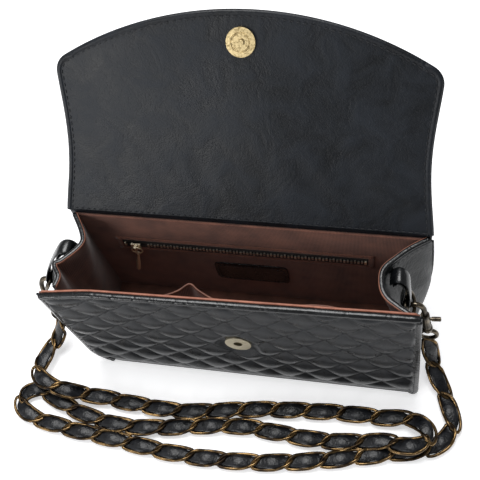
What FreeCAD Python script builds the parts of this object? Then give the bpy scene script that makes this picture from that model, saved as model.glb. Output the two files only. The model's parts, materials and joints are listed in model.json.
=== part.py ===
"""Crossbody purse: a quilted flap bag with a woven chain strap, as separate pieces.

Millimetres. +Z is up, the bag's front faces -Y, and the origin is the middle of its base on the
surface that it stands on. The flap stands open at rest.
"""

import FreeCAD
import Part
import math
import os

from FreeCAD import Vector

# Bag body
BASE_WIDTH = 234.0
TOP_WIDTH = 240.0
BASE_DEPTH = 70.0
BODY_HEIGHT = 114.5
WALL = 4.0                      # leather, board and lining together
LINING = 0.8
BACK_BOARD = 1.2
GUSSET_LEATHER = 2.0
CORNER_RADIUS = 13.0            # lower corners of the front and back
PIPING = 0.7                    # radius of the piping along the gussets' top edges
FRONT_LEAN = 3.5                # how far the front's top edge stands behind its foot
BACK_LEAN = 4.0                 # how far the back's top edge stands ahead of its foot
BASE_LAYERS = (2.0, 1.2, 0.8)   # leather, board, lining
GAP = 0.3                       # between pieces that aren't sewn face to face

# Flap
HINGE_Y = 27.0
HINGE_Z = 115.2
FLAP_ANGLE = 53.65              # open flap above the horizontal, pointing back
FLAP_START = 4.8
FLAP_BEND = 62.0                # hinge to the fold over the front edge
FLAP_CORNER = 102.5             # hinge to the corners
FLAP_LENGTH = 136.5             # hinge to the tip
FLAP_LINING = 0.8
FLAP_THICK = 3.0
FLAP_CORNER_RADIUS = 13.0
BEND_RELIEF = 1.1               # lets the fold bend backwards as well
SNAP_ALONG_FLAP = 117.5
SNAP_RADIUS = 9.0
POST_RADIUS = 2.0               # post on the flap, which enters the socket
SOCKET_HOLE = 3.0
SNAP_Z = 59.7                   # socket on the front

# Zip pocket in the back wall
ZIP_Z = 76.0
ZIP_LEFT = -92.0
ZIP_RIGHT = 82.0
ZIP_TAPE = 5.0
ZIP_TRAVEL_START = -82.0
PULL_RING = 3.9                 # radius of the ring through the slider's bridge
PULL_WIRE = 0.55
PULL_CLEAR = 0.7                # from the slider's face to the ring's middle

# Strap and its hardware
STRAP_DIAMETER = 8.0
RING_WIRE = 1.25
RING_WIDTH = 18.0
RING_HEIGHT = 13.0
TAB_WIDTH = 10.0
TAB_THICK = 1.8
HOOK_WIRE = 1.8
HOOK_RADIUS = 5.5
BARREL_RADIUS = 3.0
BARREL_BORE = 1.75
BOLT_RADIUS = 1.6
BOLT_TRAVEL = 4.0
SPRING_WIRE = 0.2
SPRING_PITCH = 0.82
SWIVEL_PIN = 0.85
EYE_RADIUS = 5.6
EYE_WIRE = 1.5

# The strap's route, from the left clasp to the right one, resting on the surface in front.
STRAP_ROUTE = [
    (-143.4, -17.6, 28.6), (-145.0, -19.8, 20.0), (-149.0, -25.5, 12.5), (-154.5, -34.0, 8.5),
    (-157.5, -45.0, 9.5), (-156.5, -54.5, 13.0), (-149.0, -62.0, 15.2), (-136.0, -65.0, 14.5),
    (-120.0, -65.5, 8.0),
    (-104.0, -65.0, 4.6), (-76.0, -67.5, 4.6), (-44.0, -69.0, 4.6), (-20.0, -65.5, 4.6),
    (8.0, -60.5, 4.6), (40.0, -57.5, 4.6), (74.0, -55.5, 4.6), (99.0, -56.0, 4.8),
    (112.0, -55.0, 6.5), (123.5, -57.0, 10.0), (129.5, -62.0, 13.0), (130.0, -70.0, 14.5),
    (124.5, -76.0, 14.8), (114.5, -76.5, 13.8), (101.5, -73.0, 8.0), (83.0, -75.5, 4.6),
    (56.0, -77.5, 4.6), (28.0, -75.5, 4.6), (2.0, -73.5, 4.6), (-26.0, -77.0, 4.6),
    (-54.0, -82.0, 4.6), (-82.0, -85.0, 4.6), (-106.0, -82.0, 4.6), (-126.0, -76.5, 4.6),
    (-143.5, -69.0, 4.6), (-156.0, -63.5, 4.6), (-165.5, -69.0, 4.6), (-165.5, -79.0, 4.6),
    (-157.0, -85.5, 4.6), (-143.0, -88.5, 4.6), (-120.0, -92.0, 4.6), (-88.0, -94.5, 4.6),
    (-52.0, -99.0, 4.6), (-14.0, -100.0, 4.6), (24.0, -97.5, 4.6), (58.0, -91.5, 4.6),
    (86.0, -85.0, 4.6), (110.0, -79.0, 4.6), (129.0, -75.5, 4.6), (142.0, -68.0, 4.6),
    (147.5, -56.0, 4.6), (145.0, -43.5, 4.6), (140.0, -32.5, 5.0), (135.0, -23.0, 8.5),
    (131.0, -15.0, 15.5), (128.3, -9.5, 25.0), (126.9, -6.8, 35.5),
]

# Clasp frames: where the hook hangs on its ring, and the way up along the clasp.
RIGHT_HOOK_AT = Vector(114.5, -4.0, 78.7)
RIGHT_CLASP_UP = Vector(-0.155, 0.06, 0.986)
RIGHT_RING_AT = Vector(108.0, -4.0, 90.2)
LEFT_HOOK_AT = Vector(-141.0, -7.0, 72.0)
LEFT_CLASP_UP = Vector(0.175, 0.232, 0.957)
LEFT_RING_AT = Vector(-134.5, -7.0, 83.4)

# Gusset outlines seen from above at three heights: (x, y) along the outer face, back to front.
RIGHT_TOP = [(118.5, 26.3), (103.0, 12.5), (95.0, 3.0), (95.0, -8.0), (104.0, -19.0), (116.5, -26.8)]
RIGHT_MID = [(118.0, 27.8), (110.5, 12.5), (106.5, 3.0), (106.5, -8.0), (110.5, -19.0), (117.0, -28.4)]
RIGHT_LOW = [(116.0, 30.6), (116.0, 12.5), (116.0, 3.0), (116.0, -8.0), (116.0, -19.0), (116.0, -30.6)]
LEFT_TOP = [(-118.5, 26.3), (-110.5, 12.5), (-109.5, 5.0), (-118.5, -1.5), (-120.3, -13.0),
            (-118.0, -26.8)]
LEFT_MID = [(-118.0, 27.8), (-114.0, 12.5), (-113.0, 5.0), (-116.5, -1.5), (-118.5, -13.0),
            (-117.5, -28.4)]
LEFT_LOW = [(-116.0, 30.6), (-116.0, 12.5), (-116.0, 5.0), (-116.0, -1.5), (-116.0, -13.0),
            (-116.0, -30.6)]
GUSSET_HEIGHTS = (0.5, 70.0, 113.5)

X_AXIS = Vector(1, 0, 0)
ORIGIN = Vector(0, 0, 0)


def arc(start, through, end):
    """Return an arc edge through three points."""
    return Part.Arc(start, through, end).toShape()


def line(start, end):
    """Return a straight edge."""
    return Part.LineSegment(start, end).toShape()


def tube(points, radius, closed=False):
    """Sweep a round section along straight runs joined by tangent arcs."""
    corners = [Vector(*p) for p in points]
    count = len(corners)
    inner = range(count) if closed else range(1, count - 1)
    cuts = {}
    for i in inner:
        before = corners[i - 1] - corners[i]
        after = corners[(i + 1) % count] - corners[i]
        reach = 0.45 * min(before.Length, after.Length)
        half_turn = (math.pi - before.getAngle(after)) / 2
        to_before = before.normalize()
        to_after = after.normalize()
        middle = (to_before + to_after).normalize()
        bend_radius = reach / math.tan(half_turn)
        depth = math.hypot(bend_radius, reach) - bend_radius
        cuts[i] = (corners[i] + to_before * reach, corners[i] + middle * depth,
                   corners[i] + to_after * reach, bend_radius)
    edges = []
    here = cuts[0][2] if closed else corners[0]
    order = list(range(1, count)) + [0] if closed else list(range(1, count - 1))
    for i in order:
        start, through, end, _ = cuts[i]
        edges.append(line(here, start))
        edges.append(arc(start, through, end))
        here = end
    if not closed:
        edges.append(line(here, corners[-1]))
    path = Part.Wire(edges)
    first = edges[0].Vertexes[0].Point
    section = Part.Wire([Part.makeCircle(radius, first, edges[0].tangentAt(edges[0].FirstParameter))])
    solid = path.makePipeShell([section], True, False)
    radii = [round(cut[3], 1) for cut in cuts.values()]
    return solid, radii, path.Length


def panel_face(bottom, top, height, foot=0.0):
    """Return an upright panel's outline in the XZ plane, its lower corners rounded."""
    r = CORNER_RADIUS
    low_left = Vector(-bottom / 2, 0, foot)
    low_right = Vector(bottom / 2, 0, foot)
    side = Vector((top - bottom) / 2, 0, height).normalize()
    left_end = low_left + Vector(-side.x, 0, side.z) * r
    right_end = low_right + side * r
    bow = r * (1 - math.sqrt(0.5))
    edges = [
        line(low_left + Vector(r, 0, 0), low_right - Vector(r, 0, 0)),
        arc(low_right - Vector(r, 0, 0), low_right + Vector(-bow, 0, bow), right_end),
        line(right_end, Vector(top / 2, 0, foot + height)),
        line(Vector(top / 2, 0, foot + height), Vector(-top / 2, 0, foot + height)),
        line(Vector(-top / 2, 0, foot + height), left_end),
        arc(left_end, low_left + Vector(bow, 0, bow), low_left + Vector(r, 0, 0)),
    ]
    return Part.Face(Part.Wire(edges))


def wall_layer(outer_y, inner_y, lean, inset=0.0, foot=0.0):
    """Return one layer of the front or back wall between two depths, leaning with the wall."""
    face = panel_face(BASE_WIDTH - 2 * inset, TOP_WIDTH - 2 * inset, BODY_HEIGHT - foot, foot)
    face.translate(Vector(0, outer_y, 0))
    solid = face.extrude(Vector(0, inner_y - outer_y, 0))
    angle = -math.degrees(math.atan2(lean, BODY_HEIGHT))
    solid.rotate(Vector(0, outer_y, 0), X_AXIS, angle)
    floor = Part.makeBox(300, 100, 20, Vector(-150, outer_y - 50, -20))
    return solid.cut(floor)


def front_y(z):
    """Return the depth of the front wall's outer face at a height."""
    return -BASE_DEPTH / 2 + FRONT_LEAN * z / BODY_HEIGHT


def back_y(z):
    """Return the depth of the back wall's inner face at a height."""
    return BASE_DEPTH / 2 - WALL - BACK_LEAN * z / BODY_HEIGHT


def body_walls():
    """Return the front, back and base layers."""
    front = -BASE_DEPTH / 2
    back = BASE_DEPTH / 2
    leather = wall_layer(front, front + WALL - LINING, FRONT_LEAN)
    hole = Part.makeCylinder(SOCKET_HOLE + 1.0, 12.0, Vector(0, front_y(SNAP_Z) - 4, SNAP_Z), Vector(0, 1, 0))
    pieces = {
        "front_panel": leather.cut(hole),
        "back_panel": wall_layer(back, back - (WALL - LINING - BACK_BOARD), -BACK_LEAN),
        "back_board": wall_layer(back, back - (WALL - LINING), -BACK_LEAN, 6.0, 6.0).cut(
            wall_layer(back, back - (WALL - LINING - BACK_BOARD), -BACK_LEAN)),
        "back_lining": wall_layer(back, back - WALL, -BACK_LEAN, 1.0, 1.0).cut(
            wall_layer(back, back - (WALL - LINING), -BACK_LEAN)),
        "front_lining": wall_layer(front, front + WALL, FRONT_LEAN, 1.0, 1.0).cut(
            wall_layer(front, front + WALL - LINING, FRONT_LEAN)),
    }
    low = 0.0
    depth = BASE_DEPTH - 2 * WALL - 2 * GAP
    width = 2 * (abs(RIGHT_LOW[0][0]) - GUSSET_LEATHER - LINING - 3 * GAP)
    for name, thick in zip(("base_panel", "base_board", "base_lining"), BASE_LAYERS):
        pieces[name] = Part.makeBox(width, depth, thick, Vector(-width / 2, -depth / 2, low))
        low += thick
    return pieces


def offset_path(path, distance):
    """Move an open path of (x, y) points sideways, towards the bag's middle."""
    side = -1.0 if path[0][0] > 0 else 1.0
    moved = []
    for i, (x, y) in enumerate(path):
        before = path[max(i - 1, 0)]
        after = path[min(i + 1, len(path) - 1)]
        along = Vector(after[0] - before[0], after[1] - before[1], 0).normalize()
        normal = Vector(abs(along.y), along.x * (1 if along.y < 0 else -1), 0)
        moved.append((x + side * distance * normal.x, y + side * distance * normal.y))
    moved[0] = (moved[0][0], path[0][1])
    moved[-1] = (moved[-1][0], path[-1][1])
    return moved


def gusset_wall(paths, outer, inner):
    """Loft one layer of a folded gusset through its outlines at three heights."""
    wires = []
    for path, z in zip(paths, GUSSET_HEIGHTS):
        ring = offset_path(path, outer) + offset_path(path, inner)[::-1]
        points = [Vector(x, y, z) for x, y in ring]
        wires.append(Part.makePolygon(points + points[:1]))
    return Part.makeLoft(wires, True, True)


def gussets():
    """Return the folded side walls, their linings and the piping on their top edges."""
    pieces = {}
    sides = {"left": (LEFT_LOW, LEFT_MID, LEFT_TOP), "right": (RIGHT_LOW, RIGHT_MID, RIGHT_TOP)}
    for side, paths in sides.items():
        pieces[f"{side}_gusset"] = gusset_wall(paths, 0.0, GUSSET_LEATHER)
        pieces[f"{side}_gusset_lining"] = gusset_wall(paths, GUSSET_LEATHER, GUSSET_LEATHER + LINING)
        edge = [(x, y, GUSSET_HEIGHTS[-1] + PIPING) for x, y in offset_path(paths[-1], 1.4)]
        edge[0] = (edge[0][0], edge[0][1] - 1.0, edge[0][2])
        edge[-1] = (edge[-1][0], edge[-1][1] + 1.0, edge[-1][2])
        pieces[f"{side}_gusset_piping"] = tube(edge, PIPING)[0]
    return pieces


def edge_trims():
    """Return the rolled top edge of the front and the bindings along the upright seams."""
    roll = 1.1
    top_y = front_y(BODY_HEIGHT) - roll
    rolled = Part.makeCylinder(roll, TOP_WIDTH - 6, Vector(-TOP_WIDTH / 2 + 3, top_y - 0.05,
                                                          BODY_HEIGHT - roll), X_AXIS)
    pieces = {"front_rolled_edge": rolled}
    z_low = CORNER_RADIUS + 2
    z_high = BODY_HEIGHT - 4
    walls = {
        "front": (front_y(z_low), front_y(z_high), -1),
        "back": (back_y(z_low) + WALL, back_y(z_high) + WALL, 1),
    }
    for name, (y_low, y_high, outward) in walls.items():
        strips = []
        for side in (-1, 1):
            low = Vector(side * (BASE_WIDTH / 2 - 3), y_low, z_low)
            high = Vector(side * (TOP_WIDTH / 2 - 3), y_high, z_high)
            shift = Vector(0, outward * 0.45, 0)
            section = Part.Face(Part.makePolygon([
                low + shift + Vector(-2.5, -0.4, 0), low + shift + Vector(2.5, -0.4, 0),
                low + shift + Vector(2.5, 0.4, 0), low + shift + Vector(-2.5, 0.4, 0),
                low + shift + Vector(-2.5, -0.4, 0)]))
            strips.append(section.extrude(high - low))
        pieces[f"{name}_side_bindings"] = Part.makeCompound(strips)
    return pieces


def place_on_flap(shape):
    """Turn a shape from the flap's flat frame (y along the flap, lining face up) to its place."""
    shape.rotate(ORIGIN, X_AXIS, FLAP_ANGLE)
    shape.translate(Vector(0, HINGE_Y, HINGE_Z))
    return shape


def flap_outline(inset=0.0):
    """Return the flap's outline from its fold to its arched tip, in its flat frame."""
    half = TOP_WIDTH / 2 - inset
    rise = FLAP_LENGTH - FLAP_CORNER
    big = (half ** 2 + rise ** 2) / (2 * rise)
    centre = FLAP_LENGTH - inset - big
    r = FLAP_CORNER_RADIUS
    corner_x = half - r
    corner_y = centre + math.sqrt((big - r) ** 2 - corner_x ** 2)
    scale = big / (big - r)
    tip_x = corner_x * scale
    tip_y = centre + (corner_y - centre) * scale
    turn = math.atan2(tip_y - corner_y, tip_x - corner_x) / 2
    mid_x = corner_x + r * math.cos(turn)
    mid_y = corner_y + r * math.sin(turn)
    start = FLAP_BEND + GAP / 2
    points = {"a": (-half, start), "b": (half, start), "c": (half, corner_y), "d": (mid_x, mid_y),
              "e": (tip_x, tip_y), "f": (0, FLAP_LENGTH - inset)}
    at = {key: Vector(x, y, 0) for key, (x, y) in points.items()}
    mirror = {key: Vector(-v.x, v.y, 0) for key, v in at.items()}
    return Part.Face(Part.Wire([
        line(at["a"], at["b"]), line(at["b"], at["c"]), arc(at["c"], at["d"], at["e"]),
        arc(at["e"], at["f"], mirror["e"]), arc(mirror["e"], mirror["d"], mirror["c"]),
        line(mirror["c"], at["a"])]))


def flap_segment_top(z_high, z_low):
    """Return a layer of the part of the flap that closes over the mouth."""
    def relief(z):
        return FLAP_BEND - GAP / 2 + BEND_RELIEF * z / FLAP_THICK
    half = TOP_WIDTH / 2
    section = Part.Face(Part.makePolygon([
        Vector(-half, FLAP_START, z_high), Vector(-half, relief(z_high), z_high),
        Vector(-half, relief(z_low), z_low), Vector(-half, FLAP_START, z_low),
        Vector(-half, FLAP_START, z_high)]))
    return section.extrude(Vector(TOP_WIDTH, 0, 0))


def flap_segment_front(z_high, z_low, inset=0.0):
    """Return a layer of the part of the flap that hangs down the front when closed."""
    layer = flap_outline(inset)
    layer.translate(Vector(0, 0, z_high))
    layer = layer.extrude(Vector(0, 0, z_low - z_high))
    start = FLAP_BEND
    wedge = Part.Face(Part.makePolygon([
        Vector(-TOP_WIDTH, start - 1, 0.1), Vector(-TOP_WIDTH, start + GAP / 2, 0.1),
        Vector(-TOP_WIDTH, start + GAP / 2 + BEND_RELIEF, -FLAP_THICK - 0.1),
        Vector(-TOP_WIDTH, start - 1, -FLAP_THICK - 0.1), Vector(-TOP_WIDTH, start - 1, 0.1)]))
    return layer.cut(wedge.extrude(Vector(2 * TOP_WIDTH, 0, 0)))


def flap():
    """Return the flap's outer leather and lining, in two segments that fold, and its snap stud."""
    washer_low = -FLAP_LINING - 0.6
    washer = Part.makeCylinder(8.0, 0.6, Vector(0, SNAP_ALONG_FLAP, washer_low))
    stud = Part.makeCylinder(SNAP_RADIUS, 1.4, Vector(0, SNAP_ALONG_FLAP, 0))
    stud = stud.cut(Part.makeTorus(5.6, 0.5, Vector(0, SNAP_ALONG_FLAP, 1.4)))
    stud = stud.fuse(Part.makeCylinder(POST_RADIUS, 1.7, Vector(0, SNAP_ALONG_FLAP, 1.3)))
    pieces = {
        "flap_top_leather": flap_segment_top(-FLAP_LINING, -FLAP_THICK),
        "flap_top_lining": flap_segment_top(0.0, -FLAP_LINING),
        "flap_front_leather": flap_segment_front(-FLAP_LINING, -FLAP_THICK).cut(washer),
        "flap_front_lining": flap_segment_front(0.0, -FLAP_LINING, 1.0),
        "snap_stud": stud,
        "snap_stud_washer": washer,
    }
    return {name: place_on_flap(shape) for name, shape in pieces.items()}


def snap_socket():
    """Return the magnetic socket on the front, its magnet and the washer behind the leather."""
    y = front_y(SNAP_Z)
    forward = Vector(0, -1, 0)
    cup = Part.makeCylinder(SNAP_RADIUS, 1.2, Vector(0, y - 0.05, SNAP_Z), forward)
    cup = cup.fuse(Part.makeCylinder(SOCKET_HOLE + 0.8, 3.0, Vector(0, y + 2.9, SNAP_Z), forward))
    cup = cup.cut(Part.makeCylinder(SOCKET_HOLE, 3.6, Vector(0, y + 2.2, SNAP_Z), forward))
    magnet = Part.makeCylinder(SOCKET_HOLE - 0.1, 0.5, Vector(0, y + 2.15, SNAP_Z), forward)
    lean = math.degrees(math.atan2(FRONT_LEAN, BODY_HEIGHT))
    pieces = {"snap_socket": cup, "snap_magnet": magnet}
    for shape in pieces.values():
        shape.rotate(Vector(0, y, SNAP_Z), X_AXIS, -lean)
    return pieces


def on_back_wall(shape, z):
    """Lean a shape with the back wall about a line at a height."""
    lean = math.degrees(math.atan2(BACK_LEAN, BODY_HEIGHT))
    shape.rotate(Vector(0, back_y(z), z), X_AXIS, lean)
    return shape


def zip_pocket():
    """Return the zip, its welt and slider with pull, and the label patch below it."""
    face = back_y(ZIP_Z) - 0.05
    length = ZIP_RIGHT - ZIP_LEFT
    frame = Part.makeBox(length + 8, 0.8, 2 * ZIP_TAPE + 7, Vector(ZIP_LEFT - 4, face - 0.8,
                                                                   ZIP_Z - ZIP_TAPE - 3.5))
    window = Part.makeBox(length, 2, 2 * ZIP_TAPE, Vector(ZIP_LEFT, face - 1.4, ZIP_Z - ZIP_TAPE))
    tapes = []
    for side in (-1, 1):
        low = ZIP_Z + (0.6 if side > 0 else -ZIP_TAPE)
        tapes.append(Part.makeBox(length - 0.4, 0.6, ZIP_TAPE - 0.6, Vector(ZIP_LEFT + 0.2, face - 0.6, low)))
    teeth = []
    pitch = 2.4
    count = int((length - 20) / pitch)
    for i in range(count):
        x = ZIP_TRAVEL_START + 8 + i * pitch
        side = 0.35 if i % 2 else -0.35
        teeth.append(Part.makeBox(1.3, 1.1, 2.6, Vector(x, face - 1.75, ZIP_Z - 1.3 + side)))
    stops = [Part.makeBox(1.6, 1.2, 3.4, Vector(x, face - 1.8, ZIP_Z - 1.7))
             for x in (ZIP_LEFT + 1.0, ZIP_RIGHT - 2.6)]
    label_z = 43.0
    patch = Part.makeBox(54, 1.0, 26, Vector(-29, back_y(label_z) - 1.05, label_z - 13))
    corner_edges = [e for e in patch.Edges if abs(e.tangentAt(e.FirstParameter).y) > 0.9]
    patch = patch.makeFillet(5.0, corner_edges)
    pieces = {
        "zip_welt": frame.cut(window), "zip_tapes": Part.makeCompound(tapes),
        "zip_teeth": Part.makeCompound(teeth), "zip_stops": Part.makeCompound(stops),
    }
    pieces.update(zip_slider(face))
    pieces = {name: on_back_wall(shape, ZIP_Z) for name, shape in pieces.items()}
    pieces["label_patch"] = on_back_wall(patch, label_z)
    return pieces


def zip_slider(face):
    """Return the slider, its ring and the long pull that hangs from the ring."""
    x = ZIP_TRAVEL_START
    top = face - 3.35
    slider = Part.makeBox(7.0, 1.2, 6.0, Vector(x - 3.5, top, ZIP_Z - 3.0))
    bridge = Part.makeBox(1.6, 1.0, 4.6, Vector(x - 0.8, top - 2.4, ZIP_Z - 2.3))
    legs = [Part.makeBox(1.6, 2.0, 1.0, Vector(x - 0.8, top - 1.9, ZIP_Z + dz)) for dz in (-2.3, 1.3)]
    slider = slider.fuse([bridge] + legs)
    ring_y = top - PULL_CLEAR
    eye_z = ZIP_Z - 2 * PULL_RING
    ring = Part.makeTorus(PULL_RING, PULL_WIRE, Vector(x, ring_y, ZIP_Z - PULL_RING), Vector(0, 1, 0))
    eye = Part.makeTorus(1.9, 0.6, Vector(x, ring_y, eye_z - 0.4), X_AXIS)
    stem = Part.makeBox(3.0, 1.2, 22.0, Vector(x - 1.5, ring_y - 0.6, eye_z - 24.0))
    edges = [e for e in stem.Edges if abs(e.tangentAt(e.FirstParameter).y) > 0.9]
    stem = stem.makeFillet(1.3, edges).fuse(eye)
    return {"zip_slider": slider, "zip_pull_ring": ring, "zip_pull": stem}


def slip_pocket():
    """Return the divided slip pocket inside the front, which bulges at its top edge."""
    z_low, z_high = 24.0, 98.0
    thick = 1.0
    wires = []
    for z, bulges in ((z_low, (1.0, 1.0)), (z_high, (13.0, 7.0))):
        wall = front_y(z) + WALL + GAP
        line_points = [(-76, wall), (-58, wall + 0.45 * bulges[0]), (-31, wall + bulges[0]),
                       (-8, wall + 0.6 * bulges[0]), (8, wall + 0.3), (28, wall + 0.6 * bulges[1]),
                       (50, wall + bulges[1]), (72, wall + 0.6 * bulges[1]), (92, wall)]
        ring = [Vector(px, py, z) for px, py in line_points]
        ring += [Vector(px, py + thick, z) for px, py in reversed(line_points)]
        wires.append(Part.makePolygon(ring + ring[:1]))
    return {"slip_pocket": Part.makeLoft(wires, True, True)}


def frame_matrix(at, up, outward_sign):
    """Return a placement: local z runs up a clasp, local x points out of the bag."""
    z_dir = Vector(up).normalize()
    x_dir = Vector(outward_sign, 0, 0)
    x_dir = (x_dir - z_dir * x_dir.dot(z_dir)).normalize()
    y_dir = z_dir.cross(x_dir)
    return FreeCAD.Matrix(x_dir.x, y_dir.x, z_dir.x, at.x, x_dir.y, y_dir.y, z_dir.y, at.y,
                          x_dir.z, y_dir.z, z_dir.z, at.z, 0, 0, 0, 1)


def placed(shape, matrix):
    """Return the shape moved from its local frame."""
    moved = shape.copy()
    moved.transformShape(matrix)
    return moved


def hook_shape():
    """Return a clasp's hook with its barrel, the ring's bar at the local origin."""
    r = HOOK_RADIUS
    low = -2.2
    top = 4.1
    wire = [(r, 0, -5.2), (r, 0, low), (0.72 * r, 0, top - 0.28 * r), (0, 0, top),
            (-0.72 * r, 0, top - 0.28 * r), (-r, 0, low), (-r, 0, -9.5), (-1.0, 0, -17.5),
            (2.2, 0, -20.0)]
    hook = tube(wire, HOOK_WIRE)[0]
    barrel = Part.makeCylinder(BARREL_RADIUS, 17.0, Vector(r, 0, -27.0))
    foot = Part.makeCylinder(BARREL_RADIUS + 0.6, 2.2, Vector(r, 0, -29.0))
    bore = Part.makeCylinder(BARREL_BORE, 16.0, Vector(r, 0, -25.0))
    slot = Part.makeBox(4.0, 2.6, BOLT_TRAVEL + 3.6, Vector(r + 0.5, -1.3, -21.2))
    pivot = Part.makeCylinder(SWIVEL_PIN + 0.1, 6.0, Vector(r, 0, -30.0))
    return hook.fuse([barrel, foot]).cut(bore.fuse([slot, pivot]))


def bolt_shape():
    """Return the clasp's sliding bolt with its thumb stub, closed against the hook's tip."""
    r = HOOK_RADIUS
    bolt = Part.makeCylinder(BOLT_RADIUS, 14.4, Vector(r, 0, -20.0))
    stub = Part.makeCylinder(1.15, 9.5, Vector(r + 0.5, 0, -15.5), X_AXIS)
    head = Part.makeCylinder(1.6, 5.6, Vector(r + 4.0, 0, -15.5), X_AXIS)
    return bolt.fuse([stub, head])


def spring_shape():
    """Return the spring under the bolt."""
    per_turn = 8
    turns = 4
    coil = 1.2
    points = []
    for i in range(per_turn * turns + 1):
        turn = 2 * math.pi * i / per_turn
        points.append((coil * math.cos(turn), coil * math.sin(turn), SPRING_PITCH * i / per_turn))
    spring = tube(points, SPRING_WIRE)[0]
    spring.translate(Vector(HOOK_RADIUS, 0, -23.8))
    return spring


def swivel_shape():
    """Return the swivel that turns in the barrel's foot, with the eye for the strap."""
    r = HOOK_RADIUS
    pin = Part.makeCylinder(SWIVEL_PIN, 6.2, Vector(r, 0, -31.0))
    head = Part.makeCylinder(1.5, 0.7, Vector(r, 0, -24.9))
    collar = Part.makeCylinder(2.6, 2.2, Vector(r, 0, -31.5))
    eye = Part.makeTorus(EYE_RADIUS, EYE_WIRE, Vector(r, 0, -31.2 - EYE_RADIUS), Vector(0, 1, 0))
    return collar.fuse([pin, head, eye])


def ring_shape():
    """Return a D-ring: straight bar at the local origin, round side below."""
    half = RING_WIDTH / 2 - RING_WIRE
    low = -RING_HEIGHT
    points = [(0, -half, 0), (0, half, 0), (0, half, 0.62 * low), (0, 0.62 * half, 0.93 * low),
              (0, 0, low), (0, -0.62 * half, 0.93 * low), (0, -half, 0.62 * low)]
    return tube(points, RING_WIRE, closed=True)[0]


def tab_shape(top, bottom):
    """Return a leather tab sewn at its top and looped round the D-ring's bar at its bottom."""
    along = Vector(top.x - bottom.x, 0, top.z - bottom.z)
    length = along.Length
    inner = RING_WIRE + 0.25
    outer = inner + TAB_THICK
    loop = Part.makeCylinder(outer, TAB_WIDTH, Vector(0, -TAB_WIDTH / 2, 0), Vector(0, 1, 0))
    blade = Part.makeBox(2.4, TAB_WIDTH, length, Vector(-1.2, -TAB_WIDTH / 2, 0))
    hole = Part.makeCylinder(inner, TAB_WIDTH + 2, Vector(0, -TAB_WIDTH / 2 - 1, 0), Vector(0, 1, 0))
    return loop.fuse(blade).cut(hole)


def strap_hardware():
    """Return each side's tab, D-ring and clasp pieces."""
    pieces = {}
    sides = {
        "left": (LEFT_RING_AT, LEFT_HOOK_AT, LEFT_CLASP_UP, Vector(-122.2, -7.0, 109.5), -1),
        "right": (RIGHT_RING_AT, RIGHT_HOOK_AT, RIGHT_CLASP_UP, Vector(97.6, -4.0, 111.0), 1),
    }
    for side, (ring_at, hook_at, up, tab_top, sign) in sides.items():
        ring_frame = frame_matrix(ring_at, ring_at - hook_at, sign)
        tab_frame = frame_matrix(ring_at, tab_top - ring_at, sign)
        clasp_frame = frame_matrix(hook_at, up, 1)
        pieces[f"{side}_tab"] = placed(tab_shape(tab_top, ring_at), tab_frame)
        pieces[f"{side}_dring"] = placed(ring_shape(), ring_frame)
        pieces[f"{side}_hook"] = placed(hook_shape(), clasp_frame)
        pieces[f"{side}_bolt"] = placed(bolt_shape(), clasp_frame)
        pieces[f"{side}_bolt_spring"] = placed(spring_shape(), clasp_frame)
        pieces[f"{side}_swivel"] = placed(swivel_shape(), clasp_frame)
    return pieces


def strap():
    """Return the strap's plain tube: a chain with a leather strip woven through it."""
    solid, radii, length = tube(STRAP_ROUTE, STRAP_DIAMETER / 2)
    section = math.pi * (STRAP_DIAMETER / 2) ** 2
    print("strap radii", radii)
    print("strap length", round(length, 1), "volume ratio", round(solid.Volume / (section * length), 4))
    return {"strap": solid}


def main():
    """Build every piece and write one STEP file each."""
    os.makedirs("parts", exist_ok=True)
    pieces = {}
    for build in (body_walls, gussets, edge_trims, flap, snap_socket, zip_pocket, slip_pocket,
                  strap_hardware, strap):
        pieces.update(build())
    for name, shape in pieces.items():
        if not shape.isValid():
            print("invalid", name)
        shape.exportStep(f"parts/{name}.step")
    print(len(pieces), "pieces")


main()
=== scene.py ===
"""Crossbody purse with a quilted flap and a woven chain strap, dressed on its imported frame.

Lengths in the dataclasses are millimetres; one helper turns them to metres. +Z is up and the
bag's front faces -Y.
"""

from __future__ import annotations

import json
import logging
import math
from dataclasses import dataclass, field
from enum import Enum
from typing import Callable, Iterable, Sequence

import bmesh
import bpy
from mathutils import Matrix, Vector, noise

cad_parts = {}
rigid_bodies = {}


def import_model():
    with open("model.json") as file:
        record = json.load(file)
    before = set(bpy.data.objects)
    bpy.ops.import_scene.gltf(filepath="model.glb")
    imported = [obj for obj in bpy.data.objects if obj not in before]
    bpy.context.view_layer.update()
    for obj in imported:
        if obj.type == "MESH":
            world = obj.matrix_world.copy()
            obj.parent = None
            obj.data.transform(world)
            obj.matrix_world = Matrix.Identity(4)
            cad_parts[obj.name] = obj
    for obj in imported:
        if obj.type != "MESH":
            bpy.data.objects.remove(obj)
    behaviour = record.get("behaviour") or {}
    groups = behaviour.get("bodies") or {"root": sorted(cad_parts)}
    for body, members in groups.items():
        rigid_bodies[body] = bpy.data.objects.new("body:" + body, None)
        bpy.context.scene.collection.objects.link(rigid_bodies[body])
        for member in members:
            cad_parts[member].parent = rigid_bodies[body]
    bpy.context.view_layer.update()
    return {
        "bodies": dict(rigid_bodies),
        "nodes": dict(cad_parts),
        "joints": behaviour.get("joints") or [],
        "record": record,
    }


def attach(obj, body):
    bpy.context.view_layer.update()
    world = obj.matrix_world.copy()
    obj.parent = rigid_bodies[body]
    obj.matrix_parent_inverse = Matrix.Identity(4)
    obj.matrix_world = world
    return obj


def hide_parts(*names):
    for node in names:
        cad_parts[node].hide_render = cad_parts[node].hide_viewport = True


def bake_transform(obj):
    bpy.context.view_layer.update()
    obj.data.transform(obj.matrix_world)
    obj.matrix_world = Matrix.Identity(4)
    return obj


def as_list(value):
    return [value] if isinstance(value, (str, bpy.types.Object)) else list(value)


LOG = logging.getLogger("purse")
MM = 0.001
UP = Vector((0, 0, 1))
FORWARD = Vector((0, -1, 0))
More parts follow.
